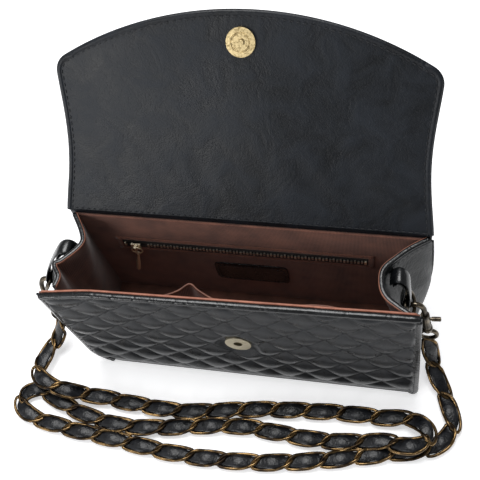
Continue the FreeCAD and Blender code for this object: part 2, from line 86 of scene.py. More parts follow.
WALL_HEIGHT = 114.5
FRONT_LEAN = 3.5
BACK_LEAN = 4.0
HALF_DEPTH = 35.0
HALF_TOP = 120.0
BACK_LINING_Y = 31.0
HINGE = Vector((0.0, 27.0, 115.2))
FLAP_ANGLE = math.radians(53.65)
Place = Callable[[float, float], Vector]


class Side(Enum):
    """The bag's two ends."""

    LEFT = -1
    RIGHT = 1


def linear(code: str) -> tuple[float, float, float, float]:
    """Turn a colour from sRGB to linear.

    Args:
        code: The sRGB hex code, such as "#171c23".

    Returns:
        Linear red, green, blue and an alpha of 1.
    """
    parts = [int(code[i:i + 2], 16) / 255 for i in (1, 3, 5)]
    turned = [c / 12.92 if c <= 0.04045 else ((c + 0.055) / 1.055) ** 2.4 for c in parts]
    return (turned[0], turned[1], turned[2], 1.0)


def add_node(tree: bpy.types.NodeTree, kind: str, values: dict | None = None,
             links: dict | None = None, **settings: object) -> bpy.types.Node:
    """Add a node with its settings, socket values and incoming links.

    Args:
        tree: The node tree.
        kind: The node's type name.
        values: Socket name or index to value.
        links: Socket name or index to the output that feeds it.
        settings: The node's own properties.

    Returns:
        The new node.
    """
    node = tree.nodes.new(kind)
    for name, value in settings.items():
        setattr(node, name, value)
    for socket, value in (values or {}).items():
        node.inputs[socket].default_value = value
    for socket, source in (links or {}).items():
        tree.links.new(source, node.inputs[socket])
    return node


def smooth_step(low: float, high: float, value: float) -> float:
    """Return 0 up to low and 1 from high on, eased between them."""
    t = min(max((value - low) / (high - low), 0.0), 1.0)
    return t * t * (3 - 2 * t)


def follow(points: Sequence[tuple[float, ...]], t: float) -> Vector:
    """Follow a smooth line through some points.

    Args:
        points: The points, in two or three dimensions.
        t: How far along, from 0 to 1.

    Returns:
        The point there.
    """
    last = len(points) - 1
    i = min(int(t * last), last - 1)
    f = t * last - i
    p = [Vector(points[min(max(i + k, 0), last)]) for k in (-1, 0, 1, 2)]
    return 0.5 * ((2 * p[1]) + (p[2] - p[0]) * f + (2 * p[0] - 5 * p[1] + 4 * p[2] - p[3]) * f * f
                  + (3 * p[1] - p[0] - 3 * p[2] + p[3]) * f ** 3)


def wave(x: float, y: float, z: float, size: float) -> float:
    """Return smooth unevenness from about -1 to 1, the same on every run, with features of a size in mm."""
    return noise.noise(Vector((x / size + 7.3, y / size + 2.1, z / size + 5.7)))


def rise_share(z: float) -> float:
    """Return how far up the walls a height is, from 0 to 1."""
    return min(max(z / WALL_HEIGHT, 0), 1)


def front_skew(x: float, share: float) -> float:
    """Return how far the front stands askew: its top right is pushed back, its top left forward."""
    return (2.6 * x / HALF_TOP - 0.4) * share ** 1.5


def back_lining_y(z: float) -> float:
    """Return how far back the lining of the back lies at a height."""
    return BACK_LINING_Y - BACK_LEAN * z / WALL_HEIGHT


def oriented(across: Vector, along: Vector, up: Vector, at: Vector) -> Matrix:
    """Return the frame at a point whose x, y and z run across, along and up."""
    frame = Matrix((across, along, up)).transposed().to_4x4()
    frame.translation = at
    return frame


def new_material(name: str) -> tuple[bpy.types.Material, bpy.types.NodeTree, bpy.types.Node,
                                     bpy.types.NodeSocket]:
    """Start a material.

    Args:
        name: What it is called.

    Returns:
        The material, its node tree, its shader and the place on the piece in object coordinates.
    """
    material = bpy.data.materials.new(name)
    material.use_nodes = True
    tree = material.node_tree
    place = add_node(tree, "ShaderNodeTexCoord").outputs["Object"]
    return material, tree, tree.nodes["Principled BSDF"], place


# ---------------------------------------------------------------- finishes


@dataclass(frozen=True)
class Leather:
    """Finished cowhide: a pebbled grain under a thin gloss, with soft creases.

    grain and crease are the pebbles' and the folds' sizes in millimetres, depth and crease_depth
    how strongly they stand out. Real pebbles are about half as wide; they are drawn this coarse
    so that they still show.
    """

    name: str
    dark: str
    light: str
    roughness: float
    grain: float = 0.9
    depth: float = 0.08
    crease: float = 10.0
    crease_depth: float = 0.2
    coat: float = 0.05
    shine: float = 0.3

    def make(self) -> bpy.types.Material:
        """Return the material: grain cells and creases drive colour, gloss and bump."""
        material, tree, shader, place = new_material(self.name)
        cells = add_node(tree, "ShaderNodeTexVoronoi", {"Scale": 1000 / self.grain}, {"Vector": place})
        fold = add_node(tree, "ShaderNodeTexNoise",
                        {"Scale": 1000 / self.crease, "Detail": 5.0, "Roughness": 0.62, "Distortion": 0.6},
                        {"Vector": place})
        tone = add_node(tree, "ShaderNodeMapRange", {"From Min": 0.35, "From Max": 0.7},
                        {"Value": fold.outputs["Fac"]})
        mix = add_node(tree, "ShaderNodeMixRGB",
                       {"Color1": linear(self.dark), "Color2": linear(self.light)},
                       {"Fac": tone.outputs["Result"]})
        gloss = add_node(tree, "ShaderNodeMapRange",
                         {"From Min": 0.3, "From Max": 0.7, "To Min": self.roughness - 0.06,
                          "To Max": self.roughness + 0.09}, {"Value": fold.outputs["Fac"]})
        low = add_node(tree, "ShaderNodeBump",
                       {"Strength": self.crease_depth, "Distance": 0.0012},
                       {"Height": fold.outputs["Fac"]})
        fine = add_node(tree, "ShaderNodeBump", {"Strength": self.depth, "Distance": 0.0004},
                        {"Height": cells.outputs["Distance"], "Normal": low.outputs["Normal"]})
        tree.links.new(mix.outputs["Color"], shader.inputs["Base Color"])
        tree.links.new(gloss.outputs["Result"], shader.inputs["Roughness"])
        tree.links.new(fine.outputs["Normal"], shader.inputs["Normal"])
        shader.inputs["Coat Weight"].default_value = self.coat
        shader.inputs["Coat Roughness"].default_value = 0.3
        shader.inputs["Specular IOR Level"].default_value = self.shine
        return material


@dataclass(frozen=True)
class Cloth:
    """Plain woven lining: crossing threads with uneven dye and a faint sheen.

    thread is the spacing in millimetres. Real lining has a thread every 0.3 mm; it is drawn
    three times as coarse so that the weave shows.
    """

    name: str
    dark: str
    light: str
    thread: float = 0.9
    sheen: float = 0.25
    across: str = "X"

    def make(self) -> bpy.types.Material:
        """Return the material: two crossing thread waves for bump, mottling for colour."""
        material, tree, shader, place = new_material(self.name)
        scale = 1000 / self.thread / math.pi
        warp = add_node(tree, "ShaderNodeTexWave", {"Scale": scale, "Distortion": 0.4},
                        {"Vector": place}, bands_direction=self.across)
        weft = add_node(tree, "ShaderNodeTexWave", {"Scale": scale, "Distortion": 0.4},
                        {"Vector": place}, bands_direction="Z")
        weave = add_node(tree, "ShaderNodeMath", None,
                         {0: warp.outputs["Fac"], 1: weft.outputs["Fac"]}, operation="MULTIPLY")
        dye = add_node(tree, "ShaderNodeTexNoise", {"Scale": 70.0, "Detail": 6.0}, {"Vector": place})
        both = add_node(tree, "ShaderNodeMath", None,
                        {0: weave.outputs["Value"], 1: dye.outputs["Fac"]}, operation="ADD")
        tone = add_node(tree, "ShaderNodeMapRange", {"From Min": 0.4, "From Max": 1.3},
                        {"Value": both.outputs["Value"]})
        mix = add_node(tree, "ShaderNodeMixRGB",
                       {"Color1": linear(self.dark), "Color2": linear(self.light)},
                       {"Fac": tone.outputs["Result"]})
        bump = add_node(tree, "ShaderNodeBump", {"Strength": 0.35, "Distance": 0.0003},
                        {"Height": weave.outputs["Value"]})
        tree.links.new(mix.outputs["Color"], shader.inputs["Base Color"])
        tree.links.new(bump.outputs["Normal"], shader.inputs["Normal"])
        shader.inputs["Roughness"].default_value = 0.78
        shader.inputs["Sheen Weight"].default_value = self.sheen
        return material


@dataclass(frozen=True)
class Metal:
    """Plated and tumbled metal: dark patina in patches, rubbed bright on the rest.

    patch is the patches' size in millimetres and share how much of the metal they cover.
    """

    name: str
    patina: str
    rubbed: str
    roughness: float = 0.32
    patch: float = 3.0
    share: float = 0.5

    def make(self) -> bpy.types.Material:
        """Return the material: patches of patina and rubbed metal with a fine tumbled bump."""
        material, tree, shader, place = new_material(self.name)
        patches = add_node(tree, "ShaderNodeTexNoise", {"Scale": 1000 / self.patch, "Detail": 4.0},
                           {"Vector": place})
        worn = add_node(tree, "ShaderNodeMapRange",
                        {"From Min": self.share - 0.12, "From Max": self.share + 0.12},
                        {"Value": patches.outputs["Fac"]})
        mix = add_node(tree, "ShaderNodeMixRGB",
                       {"Color1": linear(self.patina), "Color2": linear(self.rubbed)},
                       {"Fac": worn.outputs["Result"]})
        gloss = add_node(tree, "ShaderNodeMapRange",
                         {"To Min": self.roughness + 0.16, "To Max": self.roughness},
                         {"Value": worn.outputs["Result"]})
        tumble = add_node(tree, "ShaderNodeTexNoise", {"Scale": 2200.0, "Detail": 2.0}, {"Vector": place})
        bump = add_node(tree, "ShaderNodeBump", {"Strength": 0.12, "Distance": 0.0002},
                        {"Height": tumble.outputs["Fac"]})
        tree.links.new(mix.outputs["Color"], shader.inputs["Base Color"])
        tree.links.new(gloss.outputs["Result"], shader.inputs["Roughness"])
        tree.links.new(bump.outputs["Normal"], shader.inputs["Normal"])
        shader.inputs["Metallic"].default_value = 1.0
        return material


FINISHES: dict[str, Leather | Cloth | Metal] = {
    # Calf quilted over wadding and waxed: near black, with a broad soft gleam on each pad.
    "quilted": Leather("quilted_calf", "#07090c", "#12161b", 0.3, grain=1.0, depth=0.12, crease=9.0,
                       coat=0.0, shine=0.28),
    # Plain calf, folded often and little polished: dull, with a coarse grain and worn creases.
    "smooth": Leather("smooth_calf", "#090c0d", "#171c1e", 0.46, grain=1.6, depth=0.5, crease=14.0,
                      crease_depth=0.7, coat=0.0),
    # Split leather glazed under a hot roller: slate black and even, with long shallow creases.
    "flap_lining": Leather("glazed_lining_leather", "#0a0d11", "#171c23", 0.44, grain=1.0, depth=0.2,
                           crease=20.0, crease_depth=0.55, coat=0.04),
    # Calf stretched round a cord and edge-painted: tight, black and the shiniest of the leathers.
    "edge": Leather("rolled_edge_calf", "#060708", "#0e1012", 0.24, grain=1.4, depth=0.1,
                    crease_depth=0.25, coat=0.1, shine=0.5),
    # Thin dyed skiver round a string: matt brown with hardly a grain.
    "piping": Leather("brown_piping", "#6e4638", "#96644f", 0.45),
    # The same skiver, painted lighter as a painted highlight where light falls on the lining's top edge: a
    # pale salmon line.
    "top_piping": Leather("salmon_piping_painted_highlight", "#8f5a48", "#b57a64", 0.45),
    # The same skiver on the pocket's mouth, in the shade: dusty pink brown.
    "pocket_edge": Leather("pink_brown_piping", "#5a382d", "#8a5f4e", 0.5),
    # Calf cut in a strip and pulled through the links: creased all along, with rubbed highlights.
    "strap": Leather("strap_calf", "#08090b", "#181a1f", 0.3, grain=1.6, depth=0.35, crease=5.0,
                     crease_depth=0.5, coat=0.15),
    # Twill of spun polyester: warm brown, matt, with a fine rib and a little sheen.
    "lining": Cloth("brown_twill", "#4a2b20", "#a36b56"),
    # The same twill on the side walls, where less light falls, with its rib turned round the corner.
    "side_lining": Cloth("brown_side_twill", "#3c231a", "#80523f", across="Y"),
    # Herringbone tape: matt black with a close rib.
    "tape": Cloth("black_zip_tape", "#08080a", "#1a1a1c", 0.8, 0.1),
    # Bonded nylon thread: black with a dull grey gleam on each stitch.
    "thread": Cloth("black_thread", "#0a0b0d", "#23262c", 0.5, 0.1),
    # Brass plate, darkened and tumbled: pale old gold with fine brown specks.
    "antique_brass": Metal("antique_brass", "#8a7752", "#cdb98c", 0.34, patch=1.4, share=0.42),
    # Zinc casting in light gold plate, polished: almost white gold.
    "pale_brass": Metal("pale_brass", "#d8ccaa", "#fff3d8", 0.4, share=0.3),
    # Steel wire in dark bronze plate, rubbed by the leather: black with warm bright patches.
    "bronze": Metal("dark_bronze", "#2b231c", "#7d6543", 0.22, patch=9.0),
    # Zinc casting in gunmetal plate: dark grey with a warm cast and sharp highlights.
    "gunmetal": Metal("aged_gunmetal", "#2a2622", "#6d6456", 0.26, patch=9.0),
    # Stamped nickel silver: grey and bright on the teeth's flanks.
    "nickel": Metal("nickel_teeth", "#6b655c", "#d6cfc2", 0.3, share=0.4),
    # Brass plate rubbed through by the stud: light, with a grey bloom.
    "snap_plate": Metal("rubbed_brass_plate", "#a89c80", "#d9cfb4", patch=6.0, share=0.3),
    # Sintered ferrite: black and matt, with a fine crystal fleck.
    "magnet": Metal("sintered_magnet", "#0c0c0d", "#1f1f21", 0.5, patch=1.0),
    # Drawn spring wire: cold grey with a clean highlight.
    "steel": Metal("spring_steel", "#5d5d5f", "#a5a5a8", 0.3, patch=1.0, share=0.4),
}
MADE: dict[str, bpy.types.Material] = {}


def finish(key: str) -> bpy.types.Material:
    """Return a finish's material, made once."""
    if key not in MADE:
        MADE[key] = FINISHES[key].make()
    return MADE[key]


# ---------------------------------------------------------------- mesh tools


def to_object(mesh: bmesh.types.BMesh, name: str, finishes: Sequence[str], body: str | None,
              stands_for: Iterable[str] = (), recalc: bool = True) -> bpy.types.Object:
    """Turn a bmesh in millimetres to a smooth-shaded object in metres that rides on a body.

    Args:
        mesh: The bmesh, freed here.
        name: The piece's name.
        finishes: Finish keys, one per material slot.
        body: The CAD body that it rides on, or None for a piece that rides on no body.
        stands_for: CAD nodes that it replaces.
        recalc: Whether to point the faces outwards first.

    Returns:
        The object.
    """
    if recalc:
        bmesh.ops.recalc_face_normals(mesh, faces=mesh.faces)
    bmesh.ops.scale(mesh, vec=(MM, MM, MM), verts=mesh.verts)
    data = bpy.data.meshes.new(name)
    mesh.to_mesh(data)
    mesh.free()
    data.shade_smooth()
    for key in finishes:
        data.materials.append(finish(key))
    thing = bpy.data.objects.new(name, data)
    bpy.context.scene.collection.objects.link(thing)
    if body is not None:
        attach(thing, body)
    if stands_for:
        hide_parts(*stands_for)
    LOG.info("%s: %d faces", name, len(data.polygons))
    return thing


def grid(mesh: bmesh.types.BMesh, cols: int, rows: int, place: Place) -> list[bmesh.types.BMFace]:
    """Add a grid and move each of its points to its place.

    Args:
        mesh: Where the grid goes.
        cols: Faces along u.
        rows: Faces along v.
        place: From (u, v), each 0 to 1, to a point.

    Returns:
        The new faces.
    """
    made = bmesh.ops.create_grid(mesh, x_segments=cols, y_segments=rows, size=0.5)
    for vert in made["verts"]:
        vert.co = place(vert.co.x + 0.5, vert.co.y + 0.5)
    return list({face for vert in made["verts"] for face in vert.link_faces})


def shell(cols: int, rows: int, outer: Place, inner: Place) -> bmesh.types.BMesh:
    """Make a closed shell between two surfaces.

    Args:
        cols: Faces along u.
        rows: Faces along v.
        outer: The outer surface, which takes material slot 0, as the rim does.
        inner: The inner surface, which takes slot 1.

    Returns:
        The closed mesh.
    """
    mesh = bmesh.new()
    grid(mesh, cols, rows, outer)
    behind = grid(mesh, cols, rows, inner)
    bmesh.ops.reverse_faces(mesh, faces=behind)
    for face in behind:
        face.material_index = 1
    rims = [edge for edge in mesh.edges if edge.is_boundary]
    made = bmesh.ops.bridge_loops(mesh, edges=rims)
    for face in made["faces"]:
        face.material_index = 0
    return mesh


def frames_along(points: Sequence[Vector], up: Vector, closed: bool = False) -> list[Matrix]:
    """Return a frame at each point: x across, y along the path, z towards up.

    Args:
        points: The path.
        up: The side that z turns to wherever the path lets it.
        closed: Whether the path is a ring.

    Returns:
        One 4x4 matrix per point.
    """
    count = len(points)
    frames = []
    normal = up.normalized()
    for i, point in enumerate(points):
        before = points[i - 1] if i or closed else point
        after = points[(i + 1) % count] if i < count - 1 or closed else point
        along = (after - before).normalized()
        level = up - along * up.dot(along)
        kept = normal - along * normal.dot(along)
        steepness = 1.05 - level.length
        normal = (kept.normalized() * steepness + level * 0.25).normalized()
        normal = (normal - along * normal.dot(along)).normalized()
        frames.append(oriented(along.cross(normal), along, normal, point))
    return frames


def sweep(frames: Sequence[Matrix], wide: float, high: float, sides: int = 10,
          closed: bool = False) -> bmesh.types.BMesh:
    """Sweep an oval section along frames by extruding it from each frame to the next.

    Args:
        frames: The frames, the section lying in each one's x and z.
        wide: The section's half width along x.
        high: Its half height along z.
        sides: Points round the section.
        closed: Whether the last section joins the first.

    Returns:
        The closed mesh.
    """
    mesh = bmesh.new()
    turn = Matrix.Rotation(math.pi / 2, 4, "X")
    oval = Matrix.Diagonal((wide, 1.0, high, 1.0))
    bmesh.ops.create_circle(mesh, cap_ends=not closed, segments=sides, radius=1.0,
                            matrix=frames[0] @ oval @ turn)
    ring = mesh.edges[:]
    stops = list(frames[1:]) + ([frames[0]] if closed else [])
    here = frames[0]
    for frame in stops:
        made = bmesh.ops.extrude_edge_only(mesh, edges=ring)
        verts = [item for item in made["geom"] if isinstance(item, bmesh.types.BMVert)]
        ring = [item for item in made["geom"] if isinstance(item, bmesh.types.BMEdge)]
        bmesh.ops.transform(mesh, matrix=frame @ here.inverted(), verts=verts)
        here = frame
    if closed:
        bmesh.ops.remove_doubles(mesh, verts=mesh.verts, dist=1e-3)
    else:
        bmesh.ops.contextual_create(mesh, geom=ring)
    return mesh


def rod(points: Sequence[Vector], radius: float, sides: int = 10, closed: bool = False,
        up: Vector = UP) -> bmesh.types.BMesh:
    """Return a round rod along points."""
    return sweep(frames_along(points, up, closed), radius, radius, sides, closed)


def merge(parts: Iterable[bmesh.types.BMesh]) -> bmesh.types.BMesh:
    """Put several meshes into one.

    Args:
        parts: The meshes, freed here.

    Returns:
        The one mesh that holds them all.
    """
    whole = bmesh.new()
    for part in parts:
        data = bpy.data.meshes.new("part")
        part.to_mesh(data)
        part.free()
        whole.from_mesh(data)
        bpy.data.meshes.remove(data)
    return whole


def stitches(path: Sequence[Vector], out: Callable[[Vector], Vector], pitch: float = 4.0,
             length: float = 2.7, width: float = 0.36) -> bmesh.types.BMesh:
    """Return a row of thread stitches along a path.

    Args:
        path: The seam's points.
        out: The outward direction at a point.
        pitch: From one stitch to the next.
        length: One stitch's length.
        width: The thread's half width.

    Returns:
        The stitches as one mesh.
    """
    mesh = bmesh.new()
    run = 0.0
    wanted = pitch / 2
    for start, end in zip(path, path[1:]):
        step = (end - start).length
        while step > 0 and wanted <= run + step:
            at = start.lerp(end, (wanted - run) / step)
            along = (end - start).normalized()
            up = out(at).normalized()
            frame = oriented(along.cross(up).normalized(), along, up, at)
            size = Matrix.Diagonal((width, length / 2, width * 0.8, 1.0))
            bmesh.ops.create_uvsphere(mesh, u_segments=6, v_segments=5, radius=1.0,
                                      matrix=frame @ size @ Matrix.Rotation(math.pi / 2, 4, "X"))
            wanted += pitch
        run += step
    return mesh


@dataclass(frozen=True)
class Quilt:
    """Diamond quilting: puffed pads between seams that cross on a slanted lattice.

    across and down are a diamond's width and height, start_x and start_down where two seams
    cross, and fullness how flat the pads' tops are, with 1 for a tent and 0 for a box.
    """

    across: float = 25.69
    down: float = 22.9
    start_x: float = -94.1
    start_down: float = 7.7
    slant: float = math.radians(2.1)
    puff: float = 2.7
    fullness: float = 0.46

    def lattice(self, x: float, down: float) -> tuple[float, float]:
        """Count the seams of both directions up to a place.

        Args:
            x: Across the bag.
            down: Down from the top of the wall, or negative up the flap.

        Returns:
            The two counts; a seam runs wherever one is whole.
        """
        dx = x - self.start_x
        dy = down - self.start_down
        px = dx * math.cos(self.slant) + dy * math.sin(self.slant)
        py = -dx * math.sin(self.slant) + dy * math.cos(self.slant)
        return px / self.across + py / self.down, px / self.across - py / self.down

    def height(self, x: float, down: float) -> float:
        """Return how far the leather stands out, 0 in the seams."""
        a, b = self.lattice(x, down)
        crown = abs(math.sin(math.pi * a) * math.sin(math.pi * b))
        return self.puff * crown ** self.fullness


QUILT = Quilt()


# ---------------------------------------------------------------- the bag's body


@dataclass
class Walls:
    """The front, back and base with their linings, rolled edge and bindings."""

    base_half: float = 117.0
    corners: tuple[float, float] = (22.0, 8.0)
    back_corner: float = 4.0
    leather: float = 2.6
    left_bulge: float = 2.4
    socket_z: float = 59.7
    base_size: tuple[float, float, float] = (234.0, 66.5, 3.4)
    back_top: float = 108.0

    def corner(self, side: float, back: bool) -> float:
        """Return the radius of a wall's lower corner on a side."""
        return self.back_corner if back else self.corners[int(side > 0)]

    def edge_x(self, z: float, side: float, back: bool) -> float:
        """Find how far a wall reaches to a side.

        Args:
            z: The height.
            side: -1 for the left, 1 for the right.
            back: Whether it is the back wall, not the front.

        Returns:
            The wall's edge, with its lower corner rounded.
        """
        share = rise_share(z)
        corner = self.corner(side, back)
        reach = self.base_half + (HALF_TOP - self.base_half) * share
        if side < 0:
            reach += self.left_bulge * math.sin(math.pi * share)
        if z < corner:
            reach -= corner - math.sqrt(max(corner ** 2 - (corner - z) ** 2, 0.0))
        return reach * side

    def front_set(self, point: Vector) -> Vector:
        """Settle the front wall as it is worn: top left corner splayed, foot pushed out at the right.

        Args:
            point: A point of the even wall.

        Returns:
            Where it lies on the worn one.
        """
        share = rise_share(point.z)
        left = smooth_step(-88, -122, point.x) * share ** 2
        right = smooth_step(80, HALF_TOP, point.x) * (1 - 1.3 * share)
        return point + Vector((6.0 * right - 8.5 * left, -1.0 * left, -5.0 * left))

    def back_set(self, point: Vector) -> Vector:
        """Settle the back wall as it is worn, its right edge bowed out.

        Args:
            point: A point of the even wall.

        Returns:
            Where it lies on the worn one.
        """
        share = rise_share(point.z)
        right = smooth_step(80, HALF_TOP, point.x) * (1 + share + 5 * math.sin(math.pi * share))
        return point + Vector((right, 0, 0))

    def front_y(self, x: float, z: float) -> float:
        """Find the front's outer level, which sags a little and stands askew.

        Args:
            x: Across the bag.
            z: The height.

        Returns:
            The level's y.
        """
        share = z / WALL_HEIGHT
        lean = -HALF_DEPTH + FRONT_LEAN * share
        belly = -1.2 * math.sin(math.pi * share) * math.cos(x / HALF_TOP * 1.3)
        return lean + (front_skew(x, share) + belly) * self.socket_fade(x, z)

    def socket_fade(self, x: float, z: float) -> float:
        """Return 0 under the snap's socket, where the leather is pressed flat, and 1 away from it."""
        return smooth_step(8.6, 17.0, math.hypot(x, z - self.socket_z))

    def back_y(self, x: float, z: float) -> float:
        """Find the back's outer level, which bulges a little.

        Args:
            x: Across the bag.
            z: The height.

        Returns:
            The level's y.
        """
        share = z / WALL_HEIGHT
        bulge = math.sin(math.pi * share) * math.cos(x / HALF_TOP * 1.3)
        return HALF_DEPTH - BACK_LEAN * share + bulge

    def across(self, u: float, z: float, inset: float = 0.0, back: bool = False) -> float:
        """Find x at a share of a wall's width.

        Args:
            u: The share, from 0 at the left to 1 at the right.
            z: The height.
            inset: How far both ends stay inside the wall's edges.
            back: Whether it is the back wall, not the front.

        Returns:
            The place's x.
        """
        low = self.edge_x(z, -1, back) + inset
        high = self.edge_x(z, 1, back) - inset
        return low + (high - low) * u

    def rise(self, v: float) -> float:
        """Return z at share v of the height, closer together near the base."""
        return WALL_HEIGHT * v ** 1.08 + 0.3 * (1 - v)

    def edge_fade(self, u: float, v: float) -> float:
        """Return 1 inside a wall and 0 on its seamed sides and foot."""
        side = min(u, 1 - u) * 2 * HALF_TOP
        return smooth_step(0.0, 6.0, side) * smooth_step(1.0, 18.0, v * WALL_HEIGHT)

    def front(self) -> bpy.types.Object:
        """Build the quilted front."""
        def outer(u: float, v: float) -> Vector:
            z = self.rise(v)
            x = self.across(u, z)
            puff = QUILT.height(x, WALL_HEIGHT - z) * self.edge_fade(u, v)
            puff *= 0.35 + 0.65 * smooth_step(0.0, 5.0, WALL_HEIGHT - z)
            puff *= self.socket_fade(x, z)
            if math.hypot(x, z - self.socket_z) < 6.0:
                puff = -2.0
            bend = 1.2 * (1 - self.edge_fade(u, v))
            return self.front_set(Vector((x, self.front_y(x, z) + bend - puff, z)))

        def inner(u: float, v: float) -> Vector:
            z = self.rise(v)
            x = self.across(u, z)
            return self.front_set(Vector((x, self.front_y(x, z) + self.leather, z)))

        return to_object(shell(300, 150, outer, inner), "front_quilted", ["quilted", "lining"],
                         "bag", ["front_panel"])

    def front_lining(self) -> bpy.types.Object:
        """Build the lining of the front, which shows as a thin line along the top."""
        def outer(u: float, v: float) -> Vector:
            z = 3.0 + (self.rise(v) + 0.2) * (WALL_HEIGHT - 2.9) / WALL_HEIGHT
            x = self.across(u, z, 1.5)
            return self.front_set(Vector((x, self.front_y(x, z) + self.leather + 0.05, z)))

        def inner(u: float, v: float) -> Vector:
            point = outer(u, v)
            ease = 0.5 * wave(point.x, 0, point.z, 22)
            return point + Vector((0, 1.1 + ease * min(1, 6 * min(v, 1 - v)), 0))

        return to_object(shell(90, 40, outer, inner), "front_inside", ["lining", "lining"], "bag",
                         ["front_lining"])

    def rolled_edge(self) -> bpy.types.Object:
        """Build the rolled top edge, nipped where each seam of the quilting runs under it."""
        frames = []
        points = []
        count = 300
        for i in range(count + 1):
            x = -118.6 + 237.4 * i / count
            z = WALL_HEIGHT - 1.0 + 0.35 * wave(x, 0, 0, 30)
            points.append(self.front_set(Vector((x, self.front_y(x, z) + 0.9, z))))
        for i, frame in enumerate(frames_along(points, UP)):
            a, b = QUILT.lattice(points[i].x, 2.0)
            nip = min(abs(math.sin(math.pi * a)), abs(math.sin(math.pi * b)))
            end = smooth_step(0, 5, i) * smooth_step(0, 5, count - i)
            size = (0.92 + 0.08 * smooth_step(0.0, 0.16, nip)) * (0.8 + 0.2 * end)
            frames.append(frame @ Matrix.Diagonal((size, 1.0, size, 1.0)))
        return to_object(sweep(frames, 2.6, 2.2, 16), "front_roll", ["edge"], "bag",
                         ["front_rolled_edge"])

    def top_piping(self) -> bpy.types.Object:
        """Build the folded edge of the lining, which shows behind the rolled edge."""
        points = []
        for i in range(121):
            x = -117.0 + 233.6 * i / 120
            z = WALL_HEIGHT + 0.4 + 0.2 * wave(x, 0, 3, 24)
            y = self.front_y(x, z) + 3.5 + 0.2 * wave(x, 0, 8, 30)
            points.append(self.front_set(Vector((x, y, z))))
        # Its top_piping finish is the brown skiver painted lighter: a painted highlight, not a colour of
        # its own.
        return to_object(rod(points, 0.75), "front_top_piping", ["top_piping"], "bag")

    def back(self) -> bpy.types.Object:
        """Build the quilted back."""
        def outer(u: float, v: float) -> Vector:
            z = self.rise(v) * self.back_top / WALL_HEIGHT
            x = self.across(u, z, back=True)
            fade = self.edge_fade(u, v)
            puff = QUILT.height(x, WALL_HEIGHT - z) * fade
            return self.back_set(Vector((x, self.back_y(x, z) - 1.2 * (1 - fade) + puff, z)))

        def inner(u: float, v: float) -> Vector:
            z = self.rise(v) * self.back_top / WALL_HEIGHT
            x = self.across(u, z, back=True)
            return self.back_set(Vector((x, self.back_y(x, z) - self.leather, z)))

        return to_object(shell(200, 90, outer, inner), "back_quilted", ["quilted", "smooth"], "bag",
                         ["back_panel", "back_board"])

    def back_lining(self) -> bpy.types.Object:
        """Build the lining of the back, with the slack of cloth that hangs from its top seam."""
        def outer(u: float, v: float) -> Vector:
            z = 3.0 + v * (WALL_HEIGHT - 1.6 - 3.0)
            x = self.across(u, z, 2.6, True)
            return self.back_set(Vector((x, self.back_y(x, z) - self.leather - 0.05, z)))

        def inner(u: float, v: float) -> Vector:
            point = outer(u, v)
            slack = 0.35 * wave(point.x, 0, point.z, 18) * smooth_step(0, 0.1, v)
            slack *= smooth_step(0, 0.12, 1 - v)
            flat = back_lining_y(point.z) - 0.05
            return Vector((point.x, min(point.y - 1.2, flat + slack), point.z))

        return to_object(shell(120, 60, outer, inner), "back_inside", ["lining", "lining"], "bag",
                         ["back_lining"])

    def base(self) -> bpy.types.Object:
        """Build the base: leather outside with softened edges, lining inside."""
        mesh = bmesh.new()
        bmesh.ops.create_cube(mesh, size=1.0)
        bmesh.ops.scale(mesh, vec=self.base_size, verts=mesh.verts)
        bmesh.ops.translate(mesh, vec=(2.5, 0.0, 1.75), verts=mesh.verts)
        worn = [e for e in mesh.edges if all(v.co.x < 0 and v.co.y < 0 for v in e.verts)]
        bmesh.ops.bevel(mesh, geom=worn, offset=14.0, segments=8, profile=0.5, affect="EDGES", material=-1)
        bmesh.ops.bevel(mesh, geom=mesh.edges[:], offset=1.4, segments=4, profile=0.5,
                        affect="EDGES", material=-1)
        for face in mesh.faces:
            if face.normal.z > 0.9:
                face.material_index = 1
        bmesh.ops.subdivide_edges(mesh, edges=[e for e in mesh.edges if e.calc_length() > 40], cuts=24,
                                  use_grid_fill=True)
        return to_object(mesh, "base", ["smooth", "lining"], "bag",
                         ["base_panel", "base_board", "base_lining"])

    def bindings(self) -> None:
        """Build the stitched bindings down the side seams."""
        for name, level, outward, settle in (("front", self.front_y, -1.0, self.front_set),
                                             ("back", self.back_y, 1.0, self.back_set)):
            strips = []
            rows = []
            for side in (-1.0, 1.0):
                points = []
                for i in range(40):
                    z = 3.0 + (108.5 if name == "front" else 101.0) * i / 39
                    x = self.edge_x(z, side, name == "back") - side * 2.7
                    points.append(settle(Vector((x, level(x, z), z))))
                frames = frames_along(points, Vector((0, outward, 0)))
                strips.append(sweep(frames, 2.8, 0.8, 12))
                seam = [p + Vector((-side * 0.3, outward * 0.85, 0)) for p in points]
                rows.append(stitches(seam, lambda at: Vector((0, outward, 0)), 4.0, 2.6, 0.33))
            to_object(merge(strips), f"{name}_bindings", ["edge"], "bag", [f"{name}_side_bindings"])
            to_object(merge(rows), f"{name}_binding_stitches", ["thread"], "bag")

    def build(self) -> None:
        """Build every wall piece."""
        self.front()
        self.front_lining()
        self.rolled_edge()
        self.top_piping()
        self.back()
        self.back_lining()
        self.base()
        self.bindings()


